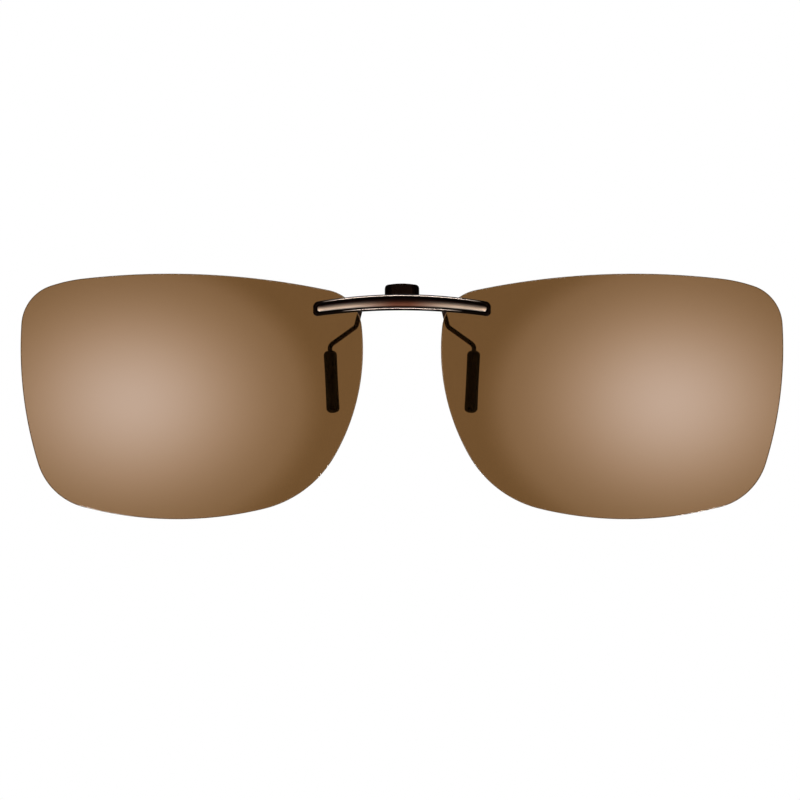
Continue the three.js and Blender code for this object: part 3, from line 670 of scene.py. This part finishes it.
def build_bar(body):
    """The front as a fine grid, the back flat, and a side wall between them."""
    layer = body.loops.layers.uv.new("height_and_inset")
    columns, rows = bar_columns(), bar_rows()
    grid, inset = [], {}
    for x in columns:
        low, high = bar_bottom(abs(x)), bar_top(abs(x))
        column = []
        for v in rows:
            z = low + (high - low) * v
            y, d = bar_front(x, z)
            vert = body.verts.new((x, y, z))
            inset[vert] = d
            column.append(vert)
        grid.append(column)
    for left, right in zip(grid, grid[1:]):
        for i in range(len(rows) - 1):
            body.faces.new((left[i], right[i], right[i + 1], left[i + 1]))
    rim = [c[0] for c in grid] + grid[-1][1:] + [c[-1] for c in reversed(grid[:-1])]
    rim += list(reversed(grid[0][1:-1]))
    loops = [rim]
    middle = BACK_ROUND * BACK_ROUND_MIDDLE
    for pull, y in ((0.0, -BACK_ROUND), (middle, -middle), (BACK_ROUND, 0.0)):
        loop = []
        for vert in rim:
            centre = Vector((max(-upper_x, min(upper_x, vert.co.x)), 0, bar_middle(vert.co.x)))
            flat = Vector((vert.co.x, 0, vert.co.z))
            inwards = (centre - flat).normalized()
            spot = flat + inwards * pull
            new = body.verts.new((spot.x, y, spot.z))
            inset[new] = 0.0 if y < 0 else -1.0
            loop.append(new)
        loops.append(loop)
    skin(body, loops)
    body.faces.new(loops[-1])
    for face in body.faces:
        for loop in face.loops:
            height = (loop.vert.co.z - bar_middle(loop.vert.co.x)) / BAR_HEIGHT + 0.5
            loop[layer].uv = (height, inset[loop.vert])
    boss = BOSS_DIAMETER / 2
    bore = boss * BORE_SHARE
    for place in screw_places:
        for side in (-1, 1):
            spot = (side * place[0], place[1])
            end = lens_y(*place) + LENS_THICKNESS / 2
            tube = [
                circle(bore, spot, -WALL_REACH, BOSS_SIDES),
                circle(bore, spot, end, BOSS_SIDES),
                circle(boss, spot, end, BOSS_SIDES),
                circle(boss, spot, -WALL_REACH, BOSS_SIDES),
            ]
            add_loops(body, tube + tube[:1])
    bmesh.ops.remove_doubles(body, verts=body.verts, dist=1e-5)


# Nickel silver with a brown plating, brushed lengthwise with a fine belt. Its colour is painted nearly
# black along its top, a painted shade, and paler towards its ends, a painted highlight. The bead and
# the groove are coloured nearly black, a painted shade.
bar_finish, tree = new_material("brown_plated_nickel_silver_brushed")
# The painted highlight's ends and the line ends are in metres from the middle of the bar, and line
# edges in millimetres from the middle of the line. The rest are shares of the bar's height or of the
# bead.
PAINTED_HIGHLIGHT_ENDS = (0.001, 0.011)
PAINTED_TOP_SHADE_HEIGHTS = (0.67, 0.34)
LINE_MIDDLES = (0.7, 0.45)
LINE_EDGES = (0.09, 0.05)
LINE_ENDS = (0.011, 0.0145)
LINE_FADE = 0.004
own = add_node(tree, "ShaderNodeUVMap", {"uv_map": "height_and_inset"}).outputs["UV"]
height, inset = axis_of(tree, own, "X"), axis_of(tree, own, "Y")
out = number(tree, "ABSOLUTE", axis_of(tree, own_place(tree), "X"))
# The belt leaves streaks 3 mm long and 0.05 mm wide.
brushing = noise(tree, 1.0, 3.0, stretched_place(tree, (0.003, 0.0002, 0.00005)))
brown = mixed(tree, brushing, "#503429", "#603f33")
# Paler towards the ends of the bar: a painted highlight.
brown_or_painted_highlight = mixed(tree, ramp(tree, out, *PAINTED_HIGHLIGHT_ENDS, eased=True), brown, "#a79e95")
# Nearly black along the top of the face: a painted shade.
below_painted_top_shade = ramp(tree, height, *PAINTED_TOP_SHADE_HEIGHTS, eased=True)
face_with_painted_light = mixed(tree, below_painted_top_shade, "#0e0605", brown_or_painted_highlight)
face_start = ramp(tree, inset, BEAD + GROOVE - 0.05, BEAD + GROOVE + 0.02)
# The bead and the groove are coloured nearly black: a painted shade.
painted_dark_rim_or_face = mixed(tree, face_start, "#0b0706", face_with_painted_light)
# The pale line along the bead is a painted highlight, glossier than the rest of the bar, and fades
# out before the ends.
upper = number(tree, "GREATER_THAN", height, 0.5)
line_middle = ramp(tree, upper, low=LINE_MIDDLES[0] * BEAD, high=LINE_MIDDLES[1] * BEAD)
off_line = number(tree, "ABSOLUTE", number(tree, "SUBTRACT", inset, line_middle))
line_end = ramp(tree, upper, low=LINE_ENDS[0], high=LINE_ENDS[1])
fade = ramp(tree, number(tree, "SUBTRACT", line_end, out), end=LINE_FADE)
polished_and_painted_highlight = number(tree, "MULTIPLY", ramp(tree, off_line, *LINE_EDGES), fade)
bar_gloss = add_node(
    tree,
    "ShaderNodeMix",
    {"data_type": "FLOAT"},
    {"B": 0.2},
    {"Factor": polished_and_painted_highlight, "A": ramp(tree, brushing, low=0.35, high=0.45)},
)
close_material(
    tree,
    "ShaderNodeBsdfPrincipled",
    {"Metallic": 1.0},
    {
        # The pale line is a painted highlight over the painted dark bead and the painted shade of the
        # face.
        "Base Color": mixed(tree, polished_and_painted_highlight, painted_dark_rim_or_face, "#cfc2b9"),
        "Roughness": bar_gloss.outputs["Result"],
        "Normal": bumped(tree, brushing, 0.12, 0.00001),
    },
)

bar_mesh = mesh_from("bridge_bar", build_bar)
smooth(bar_mesh, 50)
bar_mesh.materials.append(bar_finish)
bar = new_object("arched_bar", bar_mesh)
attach(bar, "front")
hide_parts("bridge_bar")

# ------------------------------------------------------------------------------ hinge and lever
# Two stampings: a U-shaped bracket brazed to the back of the bar, and a lever between its cheeks
# whose top is the thumb tab. Both are steel, barrelled smooth and plated nearly black.
EDGE_SOFTENING = 0.09
JOIN_WITHIN = 2e-6
FLAT_WITHIN = math.radians(1)
ROUND_FROM = math.radians(26)


def softened(node_name, name, width):
    """A copy of a CAD piece with its flats joined up and its edges rounded, as barrelling leaves it."""
    body = bmesh.new()
    body.from_mesh(nodes_of_frame[node_name].data)
    bmesh.ops.remove_doubles(body, verts=body.verts, dist=JOIN_WITHIN)
    bmesh.ops.dissolve_limit(body, angle_limit=FLAT_WITHIN, verts=body.verts, edges=body.edges)
    mesh = bpy.data.meshes.new(name)
    body.to_mesh(mesh)
    body.free()
    piece = new_object(name, mesh)
    bevel = piece.modifiers.new("barrelling", "BEVEL")
    bevel.width = width * MM
    bevel.segments = 3
    bevel.limit_method = "ANGLE"
    bevel.angle_limit = ROUND_FROM
    result = frozen(piece)
    piece.modifiers.clear()
    piece.data = result
    result.materials.clear()
    smooth(result)
    return piece


# Black-brown plating over barrelled steel: a dark gloss with a slight orange peel.
plated_finish, tree = new_material("black_brown_plated_steel")
cloud = noise(tree, 0.004, 3.0)
close_material(
    tree,
    "ShaderNodeBsdfPrincipled",
    {"Metallic": 0.9},
    {
        "Base Color": mixed(tree, cloud, "#130b08", "#20130e"),
        "Roughness": ramp(tree, cloud, low=0.2, high=0.32),
        "Normal": bumped(tree, noise(tree, 0.0004, 2.0), 0.1, 0.00001),
    },
)

for node_name, name, on_body in (
    ("hinge_bracket", "bracket", "front"),
    ("clip_lever", "thumb_lever", "clip_arm"),
):
    piece = softened(node_name, name, EDGE_SOFTENING)
    piece.data.materials.append(plated_finish)
    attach(piece, on_body)
    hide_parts(node_name)

# ------------------------------------------------------------------------------ hinge pin
# A steel rivet through the bracket and the lever, with its heads turned to low domes.
PIN_DIAMETER = 1.0
PIN_HEAD = 1.7
PIN_HEAD_HEIGHT = 0.32
PIN_HEAD_EDGE = 0.1
PIN_HEAD_CHAMFER = 0.06
PIN_SIDES = 40
PIN_SETBACK = 2.6
BRACKET_WIDTH = 7.9
BRACKET_SHEET = 0.6


def build_pin(body):
    """A shaft with two domed heads, as rings along X."""
    end = BRACKET_WIDTH / 2 + SEAT_GAP
    half = [(PIN_DIAMETER / 2, end), (PIN_HEAD / 2 - PIN_HEAD_CHAMFER, end)]
    half.append((PIN_HEAD / 2, end + PIN_HEAD_EDGE / 2))
    for turn in np.radians(np.linspace(0, 80, 7)):
        rise = PIN_HEAD_EDGE + (PIN_HEAD_HEIGHT - PIN_HEAD_EDGE) * math.sin(turn)
        half.append((PIN_HEAD / 2 * math.cos(turn), end + rise))
    profile = [(r, -x) for r, x in reversed(half)] + half
    angles = 2 * math.pi * np.arange(PIN_SIDES) / PIN_SIDES
    loops = [
        [Vector((x, PIN_SETBACK + r * math.cos(a), r * math.sin(a))) for a in angles]
        for r, x in profile
    ]
    add_loops(body, loops, capped=True)


# Bright drawn steel, lightly oiled: a warm grey whose gloss is finely uneven.
steel_finish, tree = new_material("drawn_spring_steel")
drawn = noise(tree, 0.00015, 3.0)
close_material(
    tree,
    "ShaderNodeBsdfPrincipled",
    {"Metallic": 1.0},
    {
        "Base Color": mixed(tree, drawn, "#a39c94", "#bdb7b0"),
        "Roughness": ramp(tree, drawn, low=0.22, high=0.38),
        "Normal": bumped(tree, drawn, 0.1, 0.00001),
    },
)

pin_mesh = mesh_from("hinge_pin", build_pin)
smooth(pin_mesh, 40)
pin_mesh.materials.append(steel_finish)
pin = new_object("hinge_rivet", pin_mesh)
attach(pin, "front")
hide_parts("hinge_pin")

# ------------------------------------------------------------------------------ arm wires
# Two bent wires brazed to the back of the lever. Each steps back round the bracket, turns down,
# slants out behind its lens and turns down again into a rubber sleeve.
WIRE = 0.85
WIRE_SIDES = 24
WIRE_STEP = 0.25
BEND_RADIUS = 1.2
BEND_STEPS = 13
INNER_END = 0.6
BRAZE_HEIGHT = -0.55
LEVER_SHEET = 0.6
LEVER_SETBACK = 1.6
RIM_ROOM = 3.4
GASKET_MIN = 0.25
PLATE_THICKNESS = 0.75
ARM_SHOULDER = (7.5, -0.85)
ARM_ELBOW = (8.37, -4.4)
KNEE_RISE = 1.1
SLEEVE_DIAMETER = 2.4
SLEEVE_LENGTH = 11.6
SLEEVE_TOP = (13.12, -8.9)
TOP_AHEAD = 0.8
FOOT_X = 12.55
LENS_CLEARANCE = 0.35
WIRE_STOP = 1.4

plate_front = max(lens_y(*p, LENS_THICKNESS) for p in seat_corners) + GASKET_MIN + 2 * SEAT_GAP
plate_back = plate_front + PLATE_THICKNESS
arm_setback = plate_back + RIM_ROOM + WIRE / 2
sleeve_top = Vector((SLEEVE_TOP[0], arm_setback - TOP_AHEAD, SLEEVE_TOP[1]))
foot_y = lens_y(FOOT_X, SLEEVE_TOP[1] - SLEEVE_LENGTH, LENS_THICKNESS)
foot_y += LENS_CLEARANCE + SLEEVE_DIAMETER / 2
lean = Vector((FOOT_X - sleeve_top.x, foot_y - sleeve_top.y, 0))
lean.z = -math.sqrt(SLEEVE_LENGTH**2 - lean.length_squared)
sleeve_axis = lean.normalized()


def bent_path(points, bend_radius, step):
    """Points along straight runs whose corners are rounded off."""
    path = [points[0]]
    for before, corner, after in zip(points, points[1:], points[2:]):
        back = (before - corner).normalized()
        on = (after - corner).normalized()
        turn = math.pi - back.angle(on)
        set_off = bend_radius * math.tan(turn / 2)
        start, end = corner + back * set_off, corner + on * set_off
        for t in np.linspace(0, 1, BEND_STEPS):
            path.append(start * (1 - t) ** 2 + corner * (2 * t * (1 - t)) + end * t**2)
    path.append(points[-1])
    even = [path[0]]
    for one, two in zip(path, path[1:]):
        count = max(1, math.ceil((two - one).length / step))
        even += [one.lerp(two, (i + 1) / count) for i in range(count)]
    return even


def new_geometry_tree(name, inputs):
    """A Geometry Nodes tree with named inputs and one output, and the sockets of its inputs."""
    made = bpy.data.node_groups.new(name, "GeometryNodeTree")
    for socket, kind in inputs.items():
        made.interface.new_socket(socket, in_out="INPUT", socket_type=f"NodeSocket{kind}")
    made.interface.new_socket("Made", in_out="OUTPUT", socket_type="NodeSocketGeometry")
    return made, made.nodes.new("NodeGroupInput").outputs


def close_geometry_tree(tree, geometry, finish):
    """Makes the geometry real, gives it its material and links it to the output."""
    real = add_node(tree, "GeometryNodeRealizeInstances", links={"Geometry": geometry})
    links = {"Geometry": real.outputs["Geometry"], "Material": finish}
    dressed = add_node(tree, "GeometryNodeSetMaterial", links=links)
    add_node(tree, "NodeGroupOutput", links={"Made": dressed.outputs["Geometry"]})


def made_on(carrier, tree, values):
    """The plain mesh that a Geometry Nodes tree makes on a carrier, which is then removed."""
    modifier = carrier.modifiers.new(tree.name, "NODES")
    modifier.node_group = tree
    for socket in tree.interface.items_tree:
        if socket.name in values:
            modifier[socket.identifier] = values[socket.name]
    mesh = frozen(carrier)
    bpy.data.objects.remove(carrier)
    return mesh


# A round section carried along a path.
swept_wire, given = new_geometry_tree(
    "swept_wire",
    {"Path": "Geometry", "Diameter": "Float", "Sides": "Int", "Finish": "Material"},
)
section = add_node(
    swept_wire,
    "GeometryNodeCurvePrimitiveCircle",
    links={
        "Resolution": given["Sides"],
        "Radius": number(swept_wire, "MULTIPLY", given["Diameter"], 0.5),
    },
)
tube = add_node(
    swept_wire,
    "GeometryNodeCurveToMesh",
    inputs={"Fill Caps": True},
    links={"Curve": given["Path"], "Profile Curve": section.outputs["Curve"]},
)
close_geometry_tree(swept_wire, tube.outputs["Mesh"], given["Finish"])


def swept(name, path, diameter, sides, finish):
    """A wire along a path in millimetres, as a plain mesh."""
    data = bpy.data.curves.new(name, "CURVE")
    data.dimensions = "3D"
    spline = data.splines.new("POLY")
    spline.points.add(len(path) - 1)
    for point, place_mm in zip(spline.points, path):
        point.co = (*(Vector(place_mm) * MM), 1)
    values = {"Diameter": diameter * MM, "Sides": sides, "Finish": finish}
    mesh = made_on(new_object(name + "_path", data), swept_wire, values)
    body = bmesh.new()
    body.from_mesh(mesh)
    bmesh.ops.recalc_face_normals(body, faces=body.faces)
    body.to_mesh(mesh)
    body.free()
    mesh.name = name
    smooth(mesh, 50)
    return mesh


behind_lever = PIN_SETBACK + LEVER_SETBACK + LEVER_SHEET + WIRE / 2 + SEAT_GAP
step_back = arm_setback - behind_lever
arm_points = [
    Vector((INNER_END, behind_lever, BRAZE_HEIGHT)),
    Vector((ARM_SHOULDER[0] - 2 * step_back - BEND_RADIUS, behind_lever, BRAZE_HEIGHT)),
    Vector((ARM_SHOULDER[0], arm_setback, ARM_SHOULDER[1])),
    Vector((ARM_ELBOW[0], arm_setback, ARM_ELBOW[1])),
    sleeve_top - sleeve_axis * KNEE_RISE,
    sleeve_top + sleeve_axis * (SLEEVE_LENGTH - WIRE_STOP),
]
arm_path = bent_path(arm_points, BEND_RADIUS, WIRE_STEP)
wire_mesh = swept("arm_wire_left", arm_path, WIRE, WIRE_SIDES, plated_finish)
for side, mesh in (("left", wire_mesh), ("right", mirrored(wire_mesh, "arm_wire_right"))):
    wire = new_object(f"bent_wire_{side}", mesh)
    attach(wire, "clip_arm")
    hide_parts(f"arm_wire_{side}")

# ------------------------------------------------------------------------------ grip sleeves
# Black rubber tubes pushed over the wires, dipped and cured, with rounded ends and a mouth that
# turns in to the wire. They bear on the backs of the spectacle lenses.
SLEEVE_ROUND = 0.75
SLEEVE_WAIST = 0.035
SLEEVE_SIDES = 40
WIRE_END_GAP = 0.05
MOUTH_CURL = [(0.12, 0.0), (0.04, 0.04), (0.0, 0.14)]


def build_sleeve(body):
    """A closed foot, a slightly waisted body and a mouth that turns in to the wire."""
    outer = SLEEVE_DIAMETER / 2
    bore = WIRE / 2 + SEAT_GAP
    flat = outer - SLEEVE_ROUND
    straight = SLEEVE_LENGTH - 2 * SLEEVE_ROUND
    rings = []
    for turn in np.radians(np.linspace(12, 90, 8)):
        down = SLEEVE_LENGTH - SLEEVE_ROUND + SLEEVE_ROUND * math.cos(turn)
        rings.append((flat + SLEEVE_ROUND * math.sin(turn), down))
    for share in np.linspace(0.02, 1, 24):
        waist = SLEEVE_WAIST * math.sin(math.pi * share)
        rings.append((outer - waist, SLEEVE_LENGTH - SLEEVE_ROUND - share * straight))
    for turn in np.radians(np.linspace(8, 74, 8)):
        rings.append((flat + SLEEVE_ROUND * math.cos(turn), SLEEVE_ROUND * (1 - math.sin(turn))))
    rings += [(bore + in_from_lip, down) for in_from_lip, down in MOUTH_CURL]
    rings.append((bore, SLEEVE_LENGTH - WIRE_STOP + WIRE_END_GAP))
    angles = 2 * math.pi * np.arange(SLEEVE_SIDES) / SLEEVE_SIDES
    loops = [[Vector((r * math.cos(a), r * math.sin(a), -down)) for a in angles] for r, down in rings]
    add_loops(body, loops, capped=True)
    turned = Vector((0, 0, -1)).rotation_difference(sleeve_axis).to_matrix().to_4x4()
    bmesh.ops.transform(body, matrix=Matrix.Translation(sleeve_top) @ turned, verts=body.verts)


# Dipped black rubber, matt with a fine open grain and a black that is faintly uneven.
rubber_finish, tree = new_material("dipped_black_rubber")
grain = noise(tree, 0.00018, 4.0, roughness=0.6)
close_material(
    tree,
    "ShaderNodeBsdfPrincipled",
    {"Specular IOR Level": 0.2},
    {
        "Base Color": mixed(tree, noise(tree, 0.0025, 3.0), "#020202", "#060606"),
        "Roughness": ramp(tree, grain, low=0.5, high=0.7),
        "Normal": bumped(tree, grain, 0.25, 0.00003),
    },
)

sleeve_mesh = mesh_from("grip_sleeve_left", build_sleeve)
smooth(sleeve_mesh, 60)
sleeve_mesh.materials.append(rubber_finish)
for side, mesh in (("left", sleeve_mesh), ("right", mirrored(sleeve_mesh, "grip_sleeve_right"))):
    sleeve = new_object(f"rubber_sleeve_{side}", mesh)
    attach(sleeve, "clip_arm")
    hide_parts(f"grip_sleeve_{side}")

# ------------------------------------------------------------------------------ spring
# A torsion spring round the pin: one leg bears on the bracket, the other on the lever. It winds up
# as the clip opens.
SPRING_WIRE = 0.3
SPRING_SIDES = 14
STEPS_A_TURN = 36
COIL_RADIUS = 0.86
TURNS = 5
END_GAP = 0.2
LEVER_CHEEK = 0.5
SIDE_GAP = 0.1
FIXED_LEG = 0.85
MOVING_LEG = 1.45

lever_cheek = BRACKET_WIDTH / 2 - BRACKET_SHEET - SIDE_GAP
coil_half = lever_cheek - LEVER_CHEEK - END_GAP - SPRING_WIRE / 2
leg_reach = SPRING_WIRE / 2 + SEAT_GAP


def spring_leg(y, z, side):
    """The angle at which a straight leg from y and z meets the coil."""
    return math.atan2(z, y) + side * math.acos(COIL_RADIUS / math.hypot(y, z))


fixed_y = BRACKET_SHEET + SEAT_GAP + leg_reach - PIN_SETBACK
moving_y = LEVER_SETBACK - leg_reach
fixed_angle = spring_leg(fixed_y, FIXED_LEG, 1)
moving_angle = spring_leg(moving_y, MOVING_LEG, -1)
winding = 2 * math.pi * TURNS + (moving_angle - fixed_angle) % (2 * math.pi)
spring_path = [Vector((-coil_half, PIN_SETBACK + fixed_y, FIXED_LEG))]
for share in np.linspace(0, 1, STEPS_A_TURN * (TURNS + 1)):
    angle = fixed_angle + winding * share
    y, z = COIL_RADIUS * math.cos(angle), COIL_RADIUS * math.sin(angle)
    spring_path.append(Vector((coil_half * (2 * share - 1), PIN_SETBACK + y, z)))
spring_path.append(Vector((coil_half, PIN_SETBACK + moving_y, MOVING_LEG)))
spring_mesh = swept("torsion_spring", spring_path, SPRING_WIRE, SPRING_SIDES, steel_finish)
spring = new_object("wound_spring", spring_mesh)
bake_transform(spring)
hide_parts("torsion_spring")

# ------------------------------------------------------------------------------ lens seats
# Each lens is held between a silicone pad on the bar and a gasket under a plated clamp plate, by two
# slotted screws that run through clear bushings into threaded barrels on the bar.
PLATE_SOFTENING = 0.05
for side in ("left", "right"):
    plate = softened(f"clamp_plate_{side}", f"plate_{side}", PLATE_SOFTENING)
    plate.data.materials.append(plated_finish)
    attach(plate, "front")
    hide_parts(f"clamp_plate_{side}")

# Clear silicone, moulded and slightly milky.
silicone_finish, tree = new_material("clear_moulded_silicone")
close_material(
    tree,
    "ShaderNodeBsdfPrincipled",
    {"Roughness": 0.35, "IOR": 1.41, "Transmission Weight": 0.4},
    {"Base Color": mixed(tree, noise(tree, 0.001, 2.0), "#cfcabf", "#ddd9d0")},
)
for side in ("left", "right"):
    soft_nodes = [f"lens_pad_{side}", f"lens_gasket_{side}"]
    soft_nodes += [f"lens_bushing_{side}_{where}" for where in ("inner", "outer")]
    for node_name in soft_nodes:
        node = nodes_of_frame[node_name]
        node.data.materials.clear()
        node.data.materials.append(silicone_finish)

# Screw sizes in millimetres, the turn from one slot to the next, and the share of the head's
# height at which the shank starts.
SCREW_SIZES = {
    "Head Diameter": 1.7,
    "Head Height": 0.4,
    "Chamfer": 0.08,
    "Shank Diameter": 0.95,
    "Slot Width": 0.28,
    "Slot Depth": 0.18,
}
SCREW_REACH = 0.5
SLOT_TURN = 0.9
SHANK_START = 0.8
HEAD_SIDES = 40
SHANK_SIDES = 28

# One screw with its head at the origin, looking along +Y, stood on each place.
screw_numbers = [*SCREW_SIZES, "Shank Length", "Slot Turn"]
slotted_screw, given = new_geometry_tree(
    "slotted_screw",
    {"Places": "Geometry", **dict.fromkeys(screw_numbers, "Float"), "Finish": "Material"},
)


def screw_sum(operation, *terms):
    """A sum on numbers and the screw's inputs, which are given by name."""
    found = [given[term] if isinstance(term, str) else term for term in terms]
    return number(slotted_screw, operation, *found)


def lifted(mesh, height):
    """A part of the screw moved up along its axis."""
    offset = add_node(slotted_screw, "ShaderNodeCombineXYZ", links={"Z": height})
    links = {"Geometry": mesh.outputs["Mesh"], "Translation": offset.outputs[0]}
    return add_node(slotted_screw, "GeometryNodeTransform", links=links).outputs[0]


def screw_cone(top, bottom, drop):
    """A cone or a disc twice as high as the head, from its radii at the top and the bottom."""
    links = {"Radius Top": top, "Radius Bottom": bottom, "Depth": twice_high}
    inputs = {"Vertices": HEAD_SIDES}
    cone = add_node(slotted_screw, "GeometryNodeMeshCone", inputs=inputs, links=links)
    return lifted(cone, screw_sum("MULTIPLY", drop, -1.0))


def combined(operation, meshes):
    """Parts of the screw joined, or what they share."""
    exact = {"operation": operation, "solver": "EXACT"}
    node = add_node(slotted_screw, "GeometryNodeMeshBoolean", exact)
    for mesh in meshes:
        slotted_screw.links.new(mesh, node.inputs["Mesh 2"])
    return node.outputs["Mesh"]


# The head is what a disc shares with a cone of 45 degrees, which chamfers it.
head_radius = screw_sum("MULTIPLY", "Head Diameter", 0.5)
crown_radius = screw_sum("SUBTRACT", head_radius, "Chamfer")
twice_high = screw_sum("MULTIPLY", "Head Height", 2.0)
disc_and_cone = (
    screw_cone(head_radius, head_radius, "Head Height"),
    screw_cone(crown_radius, screw_sum("ADD", crown_radius, twice_high), twice_high),
)
shank = add_node(
    slotted_screw,
    "GeometryNodeMeshCylinder",
    inputs={"Vertices": SHANK_SIDES},
    links={"Radius": screw_sum("MULTIPLY", "Shank Diameter", 0.5), "Depth": given["Shank Length"]},
)
shank_middle = screw_sum("MULTIPLY", "Shank Length", -0.5)
shank_drop = screw_sum("SUBTRACT", shank_middle, screw_sum("MULTIPLY", "Head Height", SHANK_START))
whole = combined("UNION", (combined("INTERSECT", disc_and_cone), lifted(shank, shank_drop)))
slot_size = add_node(
    slotted_screw,
    "ShaderNodeCombineXYZ",
    links={
        "X": screw_sum("MULTIPLY", "Head Diameter", 1.5),
        "Y": given["Slot Width"],
        "Z": screw_sum("MULTIPLY", "Slot Depth", 2.0),
    },
)
slot_box = add_node(slotted_screw, "GeometryNodeMeshCube", links={"Size": slot_size.outputs[0]})
slotted = add_node(
    slotted_screw,
    "GeometryNodeMeshBoolean",
    {"operation": "DIFFERENCE", "solver": "EXACT"},
    links={"Mesh 1": whole, "Mesh 2": slot_box.outputs["Mesh"]},
)
which = add_node(slotted_screw, "GeometryNodeInputIndex").outputs[0]
turn = add_node(
    slotted_screw,
    "ShaderNodeCombineXYZ",
    inputs={"X": -math.pi / 2},
    links={"Y": screw_sum("MULTIPLY", which, "Slot Turn")},
)
placed = add_node(
    slotted_screw,
    "GeometryNodeInstanceOnPoints",
    links={
        "Points": given["Places"],
        "Instance": slotted.outputs["Mesh"],
        "Rotation": turn.outputs[0],
    },
)
close_geometry_tree(slotted_screw, placed.outputs["Instances"], given["Finish"])

shank_start = SHANK_START * SCREW_SIZES["Head Height"]
for side, mirror in (("left", 1), ("right", -1)):
    spots = bpy.data.meshes.new(f"screw_places_{side}")
    corners = [(mirror * x * MM, plate_back * MM, z * MM) for x, z in screw_places]
    spots.from_pydata(corners, [], [])
    values = {name: size * MM for name, size in SCREW_SIZES.items()}
    values["Shank Length"] = (plate_back - shank_start + SCREW_REACH) * MM
    values["Slot Turn"] = mirror * SLOT_TURN
    values["Finish"] = steel_finish
    screw_mesh = made_on(new_object(f"screw_places_{side}", spots), slotted_screw, values)
    smooth(screw_mesh, 30)
    screws = new_object(f"slotted_screws_{side}", screw_mesh)
    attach(screws, "front")
    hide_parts(f"lens_screw_{side}_inner", f"lens_screw_{side}_outer")
